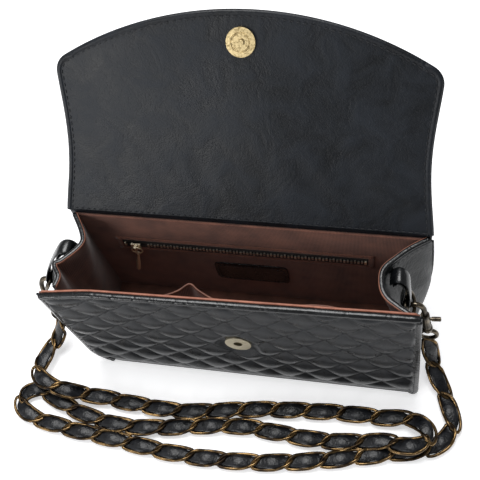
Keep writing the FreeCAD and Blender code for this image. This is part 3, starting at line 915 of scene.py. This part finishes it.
@dataclass
class Gusset:
    """One folded side wall with its lining, the piping on its top and its stitches.

    low, mid and top are the fold's (x, y) lines from back to front at the three heights, foot is
    the radius of the front corner's foot, and belly how far the back edge bows out.
    """

    side: Side
    top: list[tuple[float, float]]
    mid: list[tuple[float, float]]
    low: list[tuple[float, float]]
    foot: float
    belly: float
    heights: tuple[float, float, float] = (1.2, 70.0, 113.0)
    leather: float = 1.9
    lining: float = 0.9
    piping_height: float = 0.5
    seam_below: float = 0.965

    def outline(self, u: float, v: float) -> Vector:
        """Find a point of the outer face.

        Args:
            u: Its share of the way from back to front.
            v: Its share of the height.

        Returns:
            The point.
        """
        rows = [follow(path, u) for path in (self.low, self.mid, self.top)]
        z = self.heights[0] + (self.heights[2] - self.heights[0]) * v
        split = (self.heights[1] - self.heights[0]) / (self.heights[2] - self.heights[0])
        if v < split:
            f = smooth_step(0, 1, v / split) * 0.5 + 0.5 * v / split
            flat = rows[0].lerp(rows[1], f)
        else:
            flat = rows[1].lerp(rows[2], (v - split) / (1 - split))
        soft = 0.5 * wave(flat.x, flat.y, z, 16) * math.sin(math.pi * u)
        tuck = self.foot - math.sqrt(self.foot ** 2 - max(self.foot - z, 0.0) ** 2)
        tuck *= self.side.value * smooth_step(0.6, 1.0, u)
        bow = self.belly * self.side.value * math.sin(math.pi * min(z / self.heights[1], 1))
        return Vector((flat.x + soft - tuck + bow * smooth_step(0.35, 0.0, u), flat.y, z))

    def inward(self, u: float, v: float, distance: float) -> Vector:
        """Find a point behind the outer face.

        Args:
            u: Its share of the way from back to front.
            v: Its share of the height.
            distance: How far inside the bag it lies from the outer face.

        Returns:
            The point.
        """
        step = 0.01
        along = self.outline(min(u + step, 1), v) - self.outline(max(u - step, 0), v)
        normal = Vector((along.y, -along.x, 0)).normalized()
        if normal.x * self.side.value > 0:
            normal = -normal
        return self.outline(u, v) + normal * distance

    def top_line(self, behind: float, above: float) -> list[Vector]:
        """Return the line of a piping, behind the outer face and above the wall's top."""
        return [self.inward(0.02 + 0.96 * i / 80, 1.0, behind) + UP * above for i in range(81)]

    def build(self) -> None:
        """Build the wall, lining, piping and stitches."""
        name = self.side.name.lower()
        split = self.leather
        to_object(shell(80, 50, self.outline, lambda u, v: self.inward(u, v, split)),
                  f"{name}_side_wall", ["smooth", "side_lining"], "bag", [f"{name}_gusset"])
        to_object(shell(80, 50, lambda u, v: self.inward(u, v, split + 0.05),
                        lambda u, v: self.inward(u, v, split + self.lining)),
                  f"{name}_side_inside", ["side_lining", "side_lining"], "bag", [f"{name}_gusset_lining"])
        black = frames_along(self.top_line(1.4, self.piping_height), UP)
        to_object(sweep(black, 1.75, 1.1, 12), f"{name}_piping", ["edge"], "bag",
                  [f"{name}_gusset_piping"])
        brown = frames_along(self.top_line(2.9, self.piping_height - 0.2), UP)
        to_object(sweep(brown, 0.5, 0.9, 10), f"{name}_brown_piping", ["piping"], "bag")
        seam = [self.outline(0.03 + 0.94 * i / 80, self.seam_below) for i in range(81)]
        sign = self.side.value
        to_object(stitches(seam, lambda at: Vector((sign, 0, 0)), 3.6, 2.3, 0.3),
                  f"{name}_side_stitches", ["thread"], "bag")


# ---------------------------------------------------------------- the flap


@dataclass
class Flap:
    """The flap: a hinge strip at the back and the main flap, lined, with its stitches.

    Places on the flap are x across it and t along it, from the hinge to its tip. corner_at is
    where the rounded corners of the arched tip begin. fold, where the flap would bend over the
    front's top edge when it shuts, and bend_reach, how far that bend would spread, are not used.
    """

    half: float = HALF_TOP
    length: float = 136.5
    corner_at: float = 102.5
    corner: float = 13.0
    fold: float = 62.0
    start: float = 1.5
    bend_reach: float = 17.0
    seam_inset: float = 4.2
    leather: float = 3.0
    strip_left: float = -120.4
    strip_width: float = 241.7
    strip_foot: float = 102.0

    def place(self, x: float, t: float, level: float) -> Vector:
        """Find a point of the open flap.

        Args:
            x: Across the flap.
            t: Along it.
            level: How far above the lining's face.

        Returns:
            The point.
        """
        c = math.cos(FLAP_ANGLE)
        s = math.sin(FLAP_ANGLE)
        return Vector((x, HINGE.y + t * c - level * s, HINGE.z + t * s + level * c))

    def out(self, at: Vector) -> Vector:
        """Return the direction away from the lining's face."""
        return Vector((0, -math.sin(FLAP_ANGLE), math.cos(FLAP_ANGLE)))

    def end(self, x: float, inset: float = 0.0) -> float:
        """Find how far the flap reaches: an arched tip with rounded corners.

        Args:
            x: Across the flap.
            inset: How far inside the edge the wanted line runs.

        Returns:
            The line's t.
        """
        half = self.half - inset
        rise = self.length - self.corner_at
        big = (self.half ** 2 + rise ** 2) / (2 * rise)
        centre = self.length - big
        small = self.corner
        corner_x = self.half - small
        corner_t = centre + math.sqrt((big - small) ** 2 - corner_x ** 2)
        reach = min(abs(x), half)
        if reach < corner_x * big / (big - small) * half / self.half:
            return centre + math.sqrt((big - inset) ** 2 - reach ** 2)
        tight = small - inset
        return corner_t + math.sqrt(max(tight ** 2 - (reach - corner_x) ** 2, 0.0))

    def side_bow(self, t: float) -> float:
        """Return how much narrower each side hangs between the hinge and the corners."""
        share = min(max(t / 100, 0), 1)
        return 2.4 * (1 - share) ** 3 - 3.4 * math.sin(math.pi * share) ** 1.5

    def spot(self, u: float, v: float, inset: float = 0.0) -> tuple[float, float, float]:
        """Find a place on the flap.

        Args:
            u: Its share across.
            v: Its share along.
            inset: How far inside the edge the shares end.

        Returns:
            x, t and the distance to the edge.
        """
        half = self.half - inset
        x = half * math.sin((2 * u - 1) * math.pi / 2)
        t = self.start + (self.end(x, inset) - self.start) * v
        side = self.half - abs(x)
        edge = min(side, self.end(x) - t)
        if abs(x) > self.half - self.corner and t > self.corner_at - 12:
            corner_t = self.end(self.half)
            away = math.hypot(abs(x) - (self.half - self.corner), t - corner_t)
            edge = min(edge, self.corner - away) if t > corner_t else edge
        return x + self.side_bow(t) * x / self.half, t, max(edge, 0.0)

    def warp(self, x: float, t: float) -> float:
        """Find how the leather waves: a long swell, and short folds near the hinge.

        Args:
            x: Across the flap.
            t: Along it.

        Returns:
            The height above an even flap.
        """
        lift = 1.2 * wave(x, t, 0, 70)
        lift += 0.55 * wave(0.8 * x + 0.5 * t, 0.45 * t, 9, 11) * smooth_step(80, 15, t)
        return lift * smooth_step(0, 25, t - self.start)

    def bend(self, thing: bpy.types.Object) -> None:
        """Bake a piece's transform into its mesh; it is not bent."""
        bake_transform(thing)

    def main(self) -> bpy.types.Object:
        """Build the main flap, quilted outside and smooth inside, its edge turned over."""
        def outer(u: float, v: float) -> Vector:
            x, t, edge = self.spot(u, v)
            fade = smooth_step(0, 7, edge)
            puff = QUILT.height(x, -t) * fade
            round_off = 1.3 * (1 - smooth_step(0, 1.6, edge))
            return self.place(x, t, self.warp(x, t) - self.leather + round_off - puff)

        def inner(u: float, v: float) -> Vector:
            x, t, edge = self.spot(u, v)
            round_off = 1.2 * (1 - smooth_step(0, 1.4, edge))
            turned = 0.45 * smooth_step(3.4, 2.6, edge)
            return self.place(x, t, self.warp(x, t) - round_off + turned - 0.3)

        thing = to_object(shell(240, 120, outer, inner), "flap_quilted", ["quilted", "flap_lining"],
                          None, ["flap_front_leather", "flap_front_lining"])
        self.bend(thing)
        return thing

    def edge_path(self, inset: float) -> list[Vector]:
        """Trace a seam round the flap, from its left foot to its right one.

        Args:
            inset: How far inside the edge it runs.

        Returns:
            Its points.
        """
        points = []
        half = self.half - inset
        side_end = self.end(half, inset)
        for i in range(60):
            t = self.start + (side_end - self.start) * i / 60
            points.append((-half - self.side_bow(t), t))
        for i in range(241):
            x = half * math.sin((i / 120 - 1) * math.pi / 2)
            points.append((x, self.end(x, inset)))
        points += [(-x, t) for x, t in points[:60][::-1]]
        return [self.place(x, t, self.warp(x, t) + 0.1) for x, t in points]

    def edge_stitches(self) -> bpy.types.Object:
        """Build the stitches round the flap's lining."""
        mesh = stitches(self.edge_path(self.seam_inset), self.out, 4.2, 2.7, 0.34)
        thing = to_object(mesh, "flap_stitches", ["thread"], None)
        self.bend(thing)
        return thing

    def strip_path(self, s: float, level: float) -> tuple[float, float]:
        """Find a place on the hinge strip, seen from the side.

        Args:
            s: Its share of the way from the back's top to the flap's foot.
            level: How far outside the inner face.

        Returns:
            y and z.
        """
        wall = Vector((back_lining_y(self.strip_foot) + 0.9, self.strip_foot))
        bend = Vector((HINGE.y + 0.6, HINGE.z - 0.4))
        tip = Vector((HINGE.y + 5.0 * math.cos(FLAP_ANGLE), HINGE.z + 5.0 * math.sin(FLAP_ANGLE)))
        points = [tuple(wall), tuple(wall.lerp(bend, 0.5)), tuple(bend), tuple(bend.lerp(tip, 0.5)),
                  tuple(tip)]
        at = follow(points, s)
        along = (follow(points, min(s + 0.02, 1)) - follow(points, max(s - 0.02, 0))).normalized()
        return at.x + along.y * level, at.y - along.x * level

    def hinge_strip(self) -> bpy.types.Object:
        """Build the leather over the hinge, from the top of the back to the flap's foot."""
        def outer(u: float, v: float) -> Vector:
            x = self.strip_left + self.strip_width * u
            fade = smooth_step(0, 6, min(u, 1 - u) * 239) * (0.3 + 0.7 * math.sin(math.pi * v))
            return Vector((x, *self.strip_path(v, 4.2 + QUILT.height(x, 12.5 - 24 * v) * fade)))

        def inner(u: float, v: float) -> Vector:
            return Vector((self.strip_left + self.strip_width * u, *self.strip_path(v, 1.0)))

        thing = to_object(shell(200, 24, outer, inner), "hinge_strip", ["quilted", "flap_lining"], None,
                          ["flap_top_leather", "flap_top_lining"])
        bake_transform(thing)
        return thing

    def hinge_stitches(self) -> bpy.types.Object:
        """Build the stitches along the seam at the flap's foot."""
        points = [self.place(-117 + 234 * i / 120, self.start + 1.6, 0.35) for i in range(121)]
        return to_object(stitches(points, self.out, 4.2, 2.7, 0.34), "hinge_stitches", ["thread"],
                         "flap_top")

    def build(self) -> None:
        """Build every flap piece."""
        self.main()
        self.edge_stitches()
        self.hinge_strip()
        self.hinge_stitches()


# ---------------------------------------------------------------- inside and hardware


@dataclass
class Interior:
    """The slip pocket, the zip's window and the blank patch.

    pocket_bow is how far the pocket's mouth stands off the front wall, as (x, share) pairs: it
    gapes left of the middle and sags a little to the right. Each rail of the window is given by
    its lower and upper edge.
    """

    pocket_foot: float = 22.0
    pocket_height: float = 76.5
    pocket_bow: tuple[tuple[float, float], ...] = (
        (-78, 0.0), (-62, 0.1), (-48, 0.3), (-38, 0.62), (-31, 1.0), (-24, 0.72), (-12, 0.34),
        (4, 0.03), (20, 0.12), (36, 0.36), (50, 0.5), (64, 0.48), (78, 0.26), (94, 0.0))
    rails: tuple[tuple[float, float], ...] = ((81.0, 84.6), (67.4, 71.0))
    window_ends: tuple[float, float] = (-94.0, 84.0)
    patch_middle: tuple[float, float] = (-2.0, 43.0)
    patch_half: tuple[float, float] = (27.0, 13.0)
    border_inset: float = 2.4

    def slip_pocket(self) -> None:
        """Build the slip pocket and the piping along its mouth."""
        def level(u: float, v: float, out: float) -> Vector:
            x, share = follow(self.pocket_bow, u)
            z = self.pocket_foot + self.pocket_height * v
            lean = -HALF_DEPTH + FRONT_LEAN * z / WALL_HEIGHT
            wall = lean + 4.0 + front_skew(x, z / WALL_HEIGHT)
            off = 0.5 + max(share, 0.0) * (1.0 + 14.0 * max((z - 20) / 78, 0.0))
            return Vector((x, max(wall, lean + 4.2) + off + out, z))

        to_object(shell(110, 40, lambda u, v: level(u, v, 0.9), lambda u, v: level(u, v, 0.0)),
                  "slip_pocket_cloth", ["lining", "lining"], "bag", ["slip_pocket"])
        path = [level(i / 120, 1.0, 0.5) + UP * 0.4 for i in range(121)]
        to_object(rod(path, 0.7, 10), "slip_pocket_piping", ["pocket_edge"], "bag")

    def wall_point(self, x: float, z: float, out: float) -> Vector:
        """Return a point at a distance in front of the back's lining."""
        return Vector((x, back_lining_y(z) - out, z))

    def welt(self) -> None:
        """Build the zip's window frame of folded cloth."""
        folds = []
        for low, high in self.rails:
            path = [self.wall_point(-96 + 182 * i / 60, (low + high) / 2, 0.55) for i in range(61)]
            folds.append(sweep(frames_along(path, FORWARD), 1.95, 0.62, 12))
        for x in self.window_ends:
            path = [self.wall_point(x, 68.5 + 15 * i / 12, 0.55) for i in range(13)]
            folds.append(sweep(frames_along(path, FORWARD), 1.95, 0.55, 12))
        to_object(merge(folds), "zip_window", ["lining"], "bag", ["zip_welt"])
        rows = []
        for z in (82.9, 69.1):
            path = [self.wall_point(-95 + 180 * i / 60, z, 1.25) for i in range(61)]
            rows.append(stitches(path, lambda at: FORWARD, 3.4, 2.2, 0.25))
        to_object(merge(rows), "zip_stitches", ["piping"], "bag")

    def label(self) -> None:
        """Build the blank leather patch with its stitched border."""
        middle_x, middle_z = self.patch_middle
        half_x, half_z = self.patch_half

        def patch(u: float, v: float, out: float) -> Vector:
            a = 2 * u - 1
            b = 2 * v - 1
            squash = 1 - 0.07 * abs(a) ** 6 * abs(b) ** 6
            x = middle_x + half_x * a * squash
            z = middle_z + half_z * b * squash
            crown = 0.8 * (1 - abs(a) ** 8) * (1 - abs(b) ** 8)
            return self.wall_point(x, z, out + crown if out > 0.5 else out)

        to_object(shell(60, 34, lambda u, v: patch(u, v, 0.75), lambda u, v: patch(u, v, 0.1)),
                  "patch", ["edge", "edge"], "bag", ["label_patch"])
        ring = []
        for i in range(121):
            turn = math.tau * i / 120
            c = math.cos(turn)
            s = math.sin(turn)
            x = middle_x + (half_x - self.border_inset) * math.copysign(abs(c) ** 0.35, c)
            z = middle_z + (half_z - self.border_inset) * math.copysign(abs(s) ** 0.35, s)
            ring.append(self.wall_point(x, z, 1.55))
        to_object(stitches(ring, lambda at: FORWARD, 2.8, 1.9, 0.24), "patch_stitches",
                  ["thread"], "bag")

    def build(self) -> None:
        """Build the inner pieces."""
        self.slip_pocket()
        self.welt()
        self.label()


@dataclass
class ZipPull:
    """The bar that hangs from the zip's ring: an eye on top, then a slim bar with a rounded end."""

    eye: Vector = field(default_factory=lambda: Vector((-82.0, 24.2, 68.6)))
    lean: float = math.radians(13)
    length: float = 27.0
    half_width: float = 1.5
    eye_radius: float = 1.25
    eye_wire: float = 0.62
    neck: float = 1.6

    def build(self) -> bpy.types.Object:
        """Build the eye and the bar, leaning a little to the left."""
        down = Vector((-math.sin(self.lean), 0, -math.cos(self.lean)))
        across = Vector((math.cos(self.lean), 0, -math.sin(self.lean)))
        ring = [self.eye + (across * math.cos(a) + down * math.sin(a)) * self.eye_radius
                for a in (math.tau * i / 18 for i in range(18))]
        eye = rod(ring, self.eye_wire, 8, True, FORWARD)
        frames = []
        for i in range(25):
            share = i / 24
            frame = frames_along([self.eye + down * self.neck, self.eye + down * (self.neck + 1)],
                                 FORWARD)[0]
            width = self.half_width * (0.62 + 0.38 * smooth_step(0.0, 0.5, share))
            width *= math.sqrt(max(1 - max((share - 0.93) / 0.07, 0) ** 2, 0.04))
            frame.translation = self.eye + down * (self.neck + (self.length - self.neck) * share)
            frames.append(frame @ Matrix.Diagonal((width, 1.0, 1.0, 1.0)))
        return to_object(merge([eye, sweep(frames, 1.0, 0.7, 12)]), "zip_pull_bar", ["pale_brass"],
                         "zip_pull", ["zip_pull"])


@dataclass
class Tab:
    """One leather tab, folded round a D-ring and bulging out of the side wall.

    line runs down the tab to the ring's bar, gap is half the space between the two layers at the
    top, and loop half of it where they pass round the bar.
    """

    side: Side
    line: list[tuple[float, float, float]]
    half_width: float = 5.6
    thick: float = 0.95
    loop: float = 2.45
    gap: float = 1.15

    def build(self) -> None:
        """Build the strap of leather, down its line, round the ring and up again behind itself."""
        steps = 20
        down = []
        up = []
        turn = []
        for i in range(steps + 1):
            share = i / steps
            at = follow(self.line, share)
            along = (follow(self.line, min(share + 0.03, 1)) - follow(self.line, max(share - 0.03, 0)))
            along.normalize()
            out = along.cross(Vector((0, self.side.value, 0))).normalized()
            apart = self.gap + (self.loop - self.gap) * smooth_step(0.55, 1.0, share)
            down.append((at + out * apart, out))
            up.append((at - out * apart, -out))
        for i in range(1, 12):
            angle = math.pi * i / 12
            side = out * math.cos(angle) + along * math.sin(angle)
            turn.append((at + side * self.loop, side))
        path = down + turn + up[::-1]
        frames = []
        for i, (point, out) in enumerate(path):
            way = path[min(i + 1, len(path) - 1)][0] - path[max(i - 1, 0)][0]
            across = way.cross(out).normalized()
            frames.append(oriented(across, way.normalized(), across.cross(way).normalized(), point))
        name = self.side.name.lower()
        to_object(sweep(frames, self.half_width, self.thick, 16), f"{name}_tab_leather", ["edge"],
                  "bag", [f"{name}_tab"])


@dataclass
class ChainStrap:
    """The strap: a leather strip woven through a chain of flat links.

    width and thick are the strip's, pinch how much it narrows and weave how far it dips where it
    passes through a link. link_half is half a link's width, overlap how far a link reaches into
    the next, slant and twist how its ends lie across the strap, and bending how much of its
    length follows the strap's curve. overall, meant as the width that the strip keeps all along, is not
    used.
    """

    route: list[tuple[float, float, float]]
    width: float = 8.9
    thick: float = 2.5
    pitch: float = 23.6
    link_half: float = 6.5
    overall: float = 7.6
    wire: float = 1.15
    slant: float = 4.6
    twist: float = 1.7
    overlap: float = 1.2
    pinch: float = 0.14
    weave: float = 1.05
    bending: float = 0.45
    groups: int = 6
    pieces: list[bpy.types.Object] = field(default_factory=list)

    def line(self) -> list[Vector]:
        """Return points along the route's own smooth curve, in millimetres."""
        data = bpy.data.curves.new("strap_route", "CURVE")
        data.dimensions = "3D"
        data.resolution_u = 12
        spline = data.splines.new("NURBS")
        spline.points.add(len(self.route) - 1)
        for point, place in zip(spline.points, self.route):
            point.co = (*[c * MM for c in place], 1.0)
        spline.order_u = 3
        spline.use_endpoint_u = True
        thing = bpy.data.objects.new("strap_route", data)
        bpy.context.scene.collection.objects.link(thing)
        bpy.context.view_layer.update()
        mesh = bpy.data.meshes.new_from_object(thing)
        points = [vert.co / MM for vert in mesh.vertices]
        bpy.data.objects.remove(thing)
        bpy.data.meshes.remove(mesh)
        return points

    def even(self, points: list[Vector], step: float) -> list[Vector]:
        """Space a line's points evenly.

        Args:
            points: The line.
            step: About how far apart the new points are.

        Returns:
            The new points, with the line's two ends among them.
        """
        total = sum((b - a).length for a, b in zip(points, points[1:]))
        count = round(total / step)
        step = total / count
        kept = [points[0]]
        run = 0.0
        wanted = step
        for a, b in zip(points, points[1:]):
            reach = (b - a).length
            while wanted <= run + reach and len(kept) < count:
                kept.append(a.lerp(b, (wanted - run) / reach))
                wanted += step
            run += reach
        kept.append(points[-1])
        return kept

    def link(self) -> bmesh.types.BMesh:
        """Return one link about its middle: x across, y along, z up, its ends slanted and bowed."""
        half = self.pitch / 2 + self.overlap
        bend = self.link_half - self.wire
        count = 40
        points = []
        for i in range(count):
            turn = math.tau * i / count
            c = math.cos(turn)
            s = math.sin(turn)
            x = bend * math.copysign(abs(c) ** 0.8, c)
            y = half * math.copysign(abs(s) ** 0.8, s)
            end = smooth_step(0.35, 1.0, abs(y) / half)
            side = x / bend
            crossed = self.twist * math.copysign(1.0, y) * side * end
            points.append(Vector((x * (1 + 0.06 * end), y - self.slant * side, 1.5 * end - 0.4 + crossed)))
        return rod(points, self.wire, 8, True)

    def build(self) -> bpy.types.Object:
        points = self.even(self.line(), 1.0)
        frames = frames_along(points, UP)
        total = sum((b - a).length for a, b in zip(points, points[1:]))
        count = round((total - 6) / self.pitch)
        pitch = total / count
        strip = []
        for i, frame in enumerate(frames):
            phase = i / (len(frames) - 1) * count
            dip = math.cos(math.tau * phase)
            level = Matrix.Translation((0, 0, -self.weave * dip))
            pinch = 1 - self.pinch * smooth_step(0.4, 1.0, dip)
            strip.append(frame @ level @ Matrix.Diagonal((pinch, 1.0, 1.0, 1.0)))
        leather = to_object(sweep(strip, self.width / 2, self.thick / 2, 14), "strap_strip", ["strap"],
                            "bag", ["strap"])
        one = self.link()
        pattern = bpy.data.meshes.new("link")
        one.to_mesh(pattern)
        one.free()
        for g in range(self.groups):
            links = []
            for k in range(round(count * g / self.groups), round(count * (g + 1) / self.groups)):
                middle = (k + 0.5) * pitch / total * (len(frames) - 1)
                at = frames[min(round(middle), len(frames) - 1)]
                fresh = bmesh.new()
                fresh.from_mesh(pattern)
                bmesh.ops.transform(fresh, matrix=at, verts=fresh.verts)
                self.drape(fresh, frames, middle, at)
                links.append(fresh)
            self.pieces.append(to_object(merge(links), f"strap_links_{g + 1}", ["bronze"], "bag"))
        bpy.data.meshes.remove(pattern)
        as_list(self.pieces)
        return leather

    def drape(self, mesh: bmesh.types.BMesh, frames: list[Matrix], middle: float, at: Matrix) -> None:
        """Bend a placed link a little along the strap, so that it follows the curve.

        Args:
            mesh: The link, bent here.
            frames: The strap's frames, 1 mm apart.
            middle: The count of the frame at the link's middle.
            at: The frame that the link was placed by.
        """
        back = at.inverted()
        for vert in mesh.verts:
            local = back @ vert.co
            index = min(max(round(middle + self.bending * local.y), 0), len(frames) - 1)
            vert.co = frames[index] @ Vector((local.x, (1 - self.bending) * local.y, local.z))


CAD_FINISHES: dict[str, str] = {
    "snap_stud": "antique_brass", "snap_stud_washer": "pale_brass", "snap_socket": "snap_plate",
    "snap_magnet": "magnet", "zip_tapes": "tape", "zip_teeth": "nickel", "zip_stops": "pale_brass",
    "zip_slider": "pale_brass", "zip_pull_ring": "pale_brass",
    **{f"{end}_{piece}": "gunmetal" for piece in ("dring", "hook", "bolt", "swivel")
       for end in ("left", "right")},
    "left_bolt_spring": "steel", "right_bolt_spring": "steel",
}

# The strap's route from the left clasp's eye, along the floor in front of the bag, to the right one.
ROUTE: list[tuple[float, float, float]] = [
    (-143.4, -17.6, 28.6), (-145.0, -19.8, 20.0), (-149.0, -25.5, 12.5), (-154.5, -34.0, 8.5),
    (-157.5, -45.0, 9.5), (-156.5, -54.5, 13.0), (-149.0, -62.0, 15.2), (-136.0, -65.0, 14.5),
    (-120.0, -65.5, 8.0),
    (-104.0, -65.0, 4.6), (-76.0, -67.5, 4.6), (-44.0, -69.0, 4.6), (-20.0, -65.5, 4.6),
    (8.0, -60.5, 4.6), (40.0, -57.5, 4.6), (74.0, -55.5, 4.6), (99.0, -56.0, 4.8),
    (112.0, -55.0, 6.5), (123.5, -57.0, 10.0), (129.5, -62.0, 13.0), (130.0, -70.0, 14.5),
    (124.5, -76.0, 14.8), (114.5, -76.5, 13.8), (101.5, -73.0, 8.0), (83.0, -75.5, 4.6),
    (56.0, -77.5, 4.6), (28.0, -75.5, 4.6), (2.0, -73.5, 4.6), (-26.0, -77.0, 4.6),
    (-54.0, -82.0, 4.6), (-82.0, -85.0, 4.6), (-106.0, -82.0, 4.6), (-126.0, -76.5, 4.6),
    (-143.5, -69.0, 4.6), (-156.0, -63.5, 4.6), (-165.5, -69.0, 4.6), (-165.5, -79.0, 4.6),
    (-157.0, -85.5, 4.6), (-143.0, -88.5, 4.6), (-120.0, -92.0, 4.6), (-88.0, -94.5, 4.6),
    (-52.0, -99.0, 4.6), (-14.0, -100.0, 4.6), (24.0, -97.5, 4.6), (58.0, -91.5, 4.6),
    (86.0, -85.0, 4.6), (110.0, -79.0, 4.6), (129.0, -75.5, 4.6), (142.0, -68.0, 4.6),
    (147.5, -56.0, 4.6), (145.0, -43.5, 4.6), (140.0, -32.5, 5.0), (135.0, -23.0, 8.5),
    (131.0, -15.0, 15.5), (128.3, -9.5, 25.0), (126.9, -6.8, 35.5),
]


@dataclass
class Studio:
    """The camera, soft lights and pale floor. Lights are in metres, as the object is in the end."""

    azimuth: float = math.radians(21.72)
    elevation: float = math.radians(58.93)
    roll: float = math.radians(-14.37)
    distance: float = 582.59
    target: tuple[float, float, float] = (-11.81, 46.04, 60.0)
    sensor: float = 36.0
    lens: float = 60.12
    lit_point: tuple[float, float, float] = (0, 0, 0.06)
    floor_glow: float = 0.5
    ambient: float = 0.25

    def camera(self) -> None:
        """Place the camera."""
        a, e, r = self.azimuth, self.elevation, self.roll
        away = Vector((math.sin(a) * math.cos(e), -math.cos(a) * math.cos(e), math.sin(e)))
        forward = -away
        right = forward.cross(UP).normalized()
        up = right.cross(forward)
        across = right * math.cos(r) + up * math.sin(r)
        above = up * math.cos(r) - right * math.sin(r)
        frame = oriented(across, above, away, (Vector(self.target) + away * self.distance) * MM)
        data = bpy.data.cameras.new("camera")
        data.sensor_width = self.sensor
        data.lens = self.lens
        data.clip_start = 0.01
        thing = bpy.data.objects.new("camera", data)
        bpy.context.scene.collection.objects.link(thing)
        thing.matrix_world = frame
        bpy.context.scene.camera = thing

    def light(self, name: str, at: tuple[float, float, float], power: float, size: float) -> None:
        """Add a square soft light that faces the bag.

        Args:
            name: What it is called.
            at: Its place.
            power: Its watts.
            size: Its side.
        """
        data = bpy.data.lights.new(name, "AREA")
        data.energy = power
        data.size = size
        thing = bpy.data.objects.new(name, data)
        bpy.context.scene.collection.objects.link(thing)
        place = Vector(at)
        facing = (Vector(self.lit_point) - place).to_track_quat("-Z", "Y")
        thing.matrix_world = Matrix.Translation(place) @ facing.to_matrix().to_4x4()

    def floor(self) -> None:
        """Add the floor, of pale paper that glows a little."""
        mesh = bmesh.new()
        bmesh.ops.create_grid(mesh, x_segments=2, y_segments=2, size=3.0)
        data = bpy.data.meshes.new("floor")
        mesh.to_mesh(data)
        mesh.free()
        material = bpy.data.materials.new("floor_paper")
        material.use_nodes = True
        shader = material.node_tree.nodes["Principled BSDF"]
        shader.inputs["Base Color"].default_value = linear("#f7f7f8")
        shader.inputs["Roughness"].default_value = 0.7
        shader.inputs["Emission Color"].default_value = linear("#ffffff")
        shader.inputs["Emission Strength"].default_value = self.floor_glow
        data.materials.append(material)
        thing = bpy.data.objects.new("floor", data)
        bpy.context.scene.collection.objects.link(thing)

    def build(self) -> None:
        """Set the camera, lights, floor and surroundings."""
        self.camera()
        self.floor()
        self.light("overhead", (-0.15, 0.3, 1.35), 17.0, 0.8)
        self.light("front_soft", (-0.65, -1.05, 0.62), 6.0, 0.5)
        self.light("left_soft", (-1.1, -0.3, 0.8), 1.5, 0.8)
        world = bpy.data.worlds.new("studio")
        world.use_nodes = True
        background = world.node_tree.nodes["Background"]
        background.inputs["Color"].default_value = linear("#f4f6fa")
        background.inputs["Strength"].default_value = self.ambient
        bpy.context.scene.world = world
        bpy.context.scene.view_settings.view_transform = "Standard"


# How each side wall folds in, and how each tab lies over its top.
GUSSETS: tuple[Gusset, Gusset] = (
    Gusset(Side.LEFT,
           top=[(-119.0, 27), (-109.3, 12), (-107.8, 3.7), (-116.6, -8), (-121.3, -11.3),
                (-120.7, -15.7), (-116.7, -22), (-117.5, -29)],
           mid=[(-118.5, 28), (-114, 14), (-113, 4), (-116.5, -3), (-118.5, -10), (-118.6, -16),
                (-118.0, -23), (-117.8, -29)],
           low=[(-116, 31), (-116, 19), (-116, 9), (-116, -1), (-116, -9), (-116, -16), (-116, -24),
                (-117, -31)],
           foot=22.0, belly=0.0),
    Gusset(Side.RIGHT,
           top=[(121.3, 27), (111, 20), (102.5, 12.5), (94.5, 3), (94, -7), (97.5, -14.5),
                (104.6, -20), (111, -24), (116, -28)],
           mid=[(124.3, 27), (121.5, 19), (113, 11), (106.8, 3), (106.0, -8), (108, -15), (111, -20),
                (115, -24.5), (119.0, -28.5)],
           low=[(117.5, 31), (117, 22), (117, 13), (117, 4), (117, -5), (117.5, -12), (118.5, -18),
                (120, -25), (121.5, -31)],
           foot=8.0, belly=2.6),
)
TABS: tuple[Tab, Tab] = (
    Tab(Side.LEFT, [(-112.8, 3, 101), (-116.0, 2.5, 109.0), (-122.0, 1, 108.0), (-130.0, -3.5, 96.0),
                    (-134.5, -7.0, 83.4)]),
    Tab(Side.RIGHT, [(99, 2, 105), (103.0, 1.5, 110.0), (107.5, 0.5, 106.0), (108.5, -2.0, 98.0),
                     (108.0, -4.0, 90.2)]),
)


def dress(frame: dict) -> None:
    """Give each CAD node that stays in view its finish.

    Args:
        frame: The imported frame, with its nodes by name.
    """
    for node, key in CAD_FINISHES.items():
        data = frame["nodes"][node].data
        data.materials.clear()
        data.materials.append(finish(key))


def main() -> None:
    """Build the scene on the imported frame."""
    logging.basicConfig(level=logging.INFO, format="%(message)s")
    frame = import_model()
    Studio().build()
    ChainStrap(ROUTE).build()
    Walls().build()
    for gusset in GUSSETS:
        gusset.build()
    Flap().build()
    Interior().build()
    for tab in TABS:
        tab.build()
    ZipPull().build()
    dress(frame)
    bpy.context.view_layer.update()


if __name__ == "__main__":
    main()
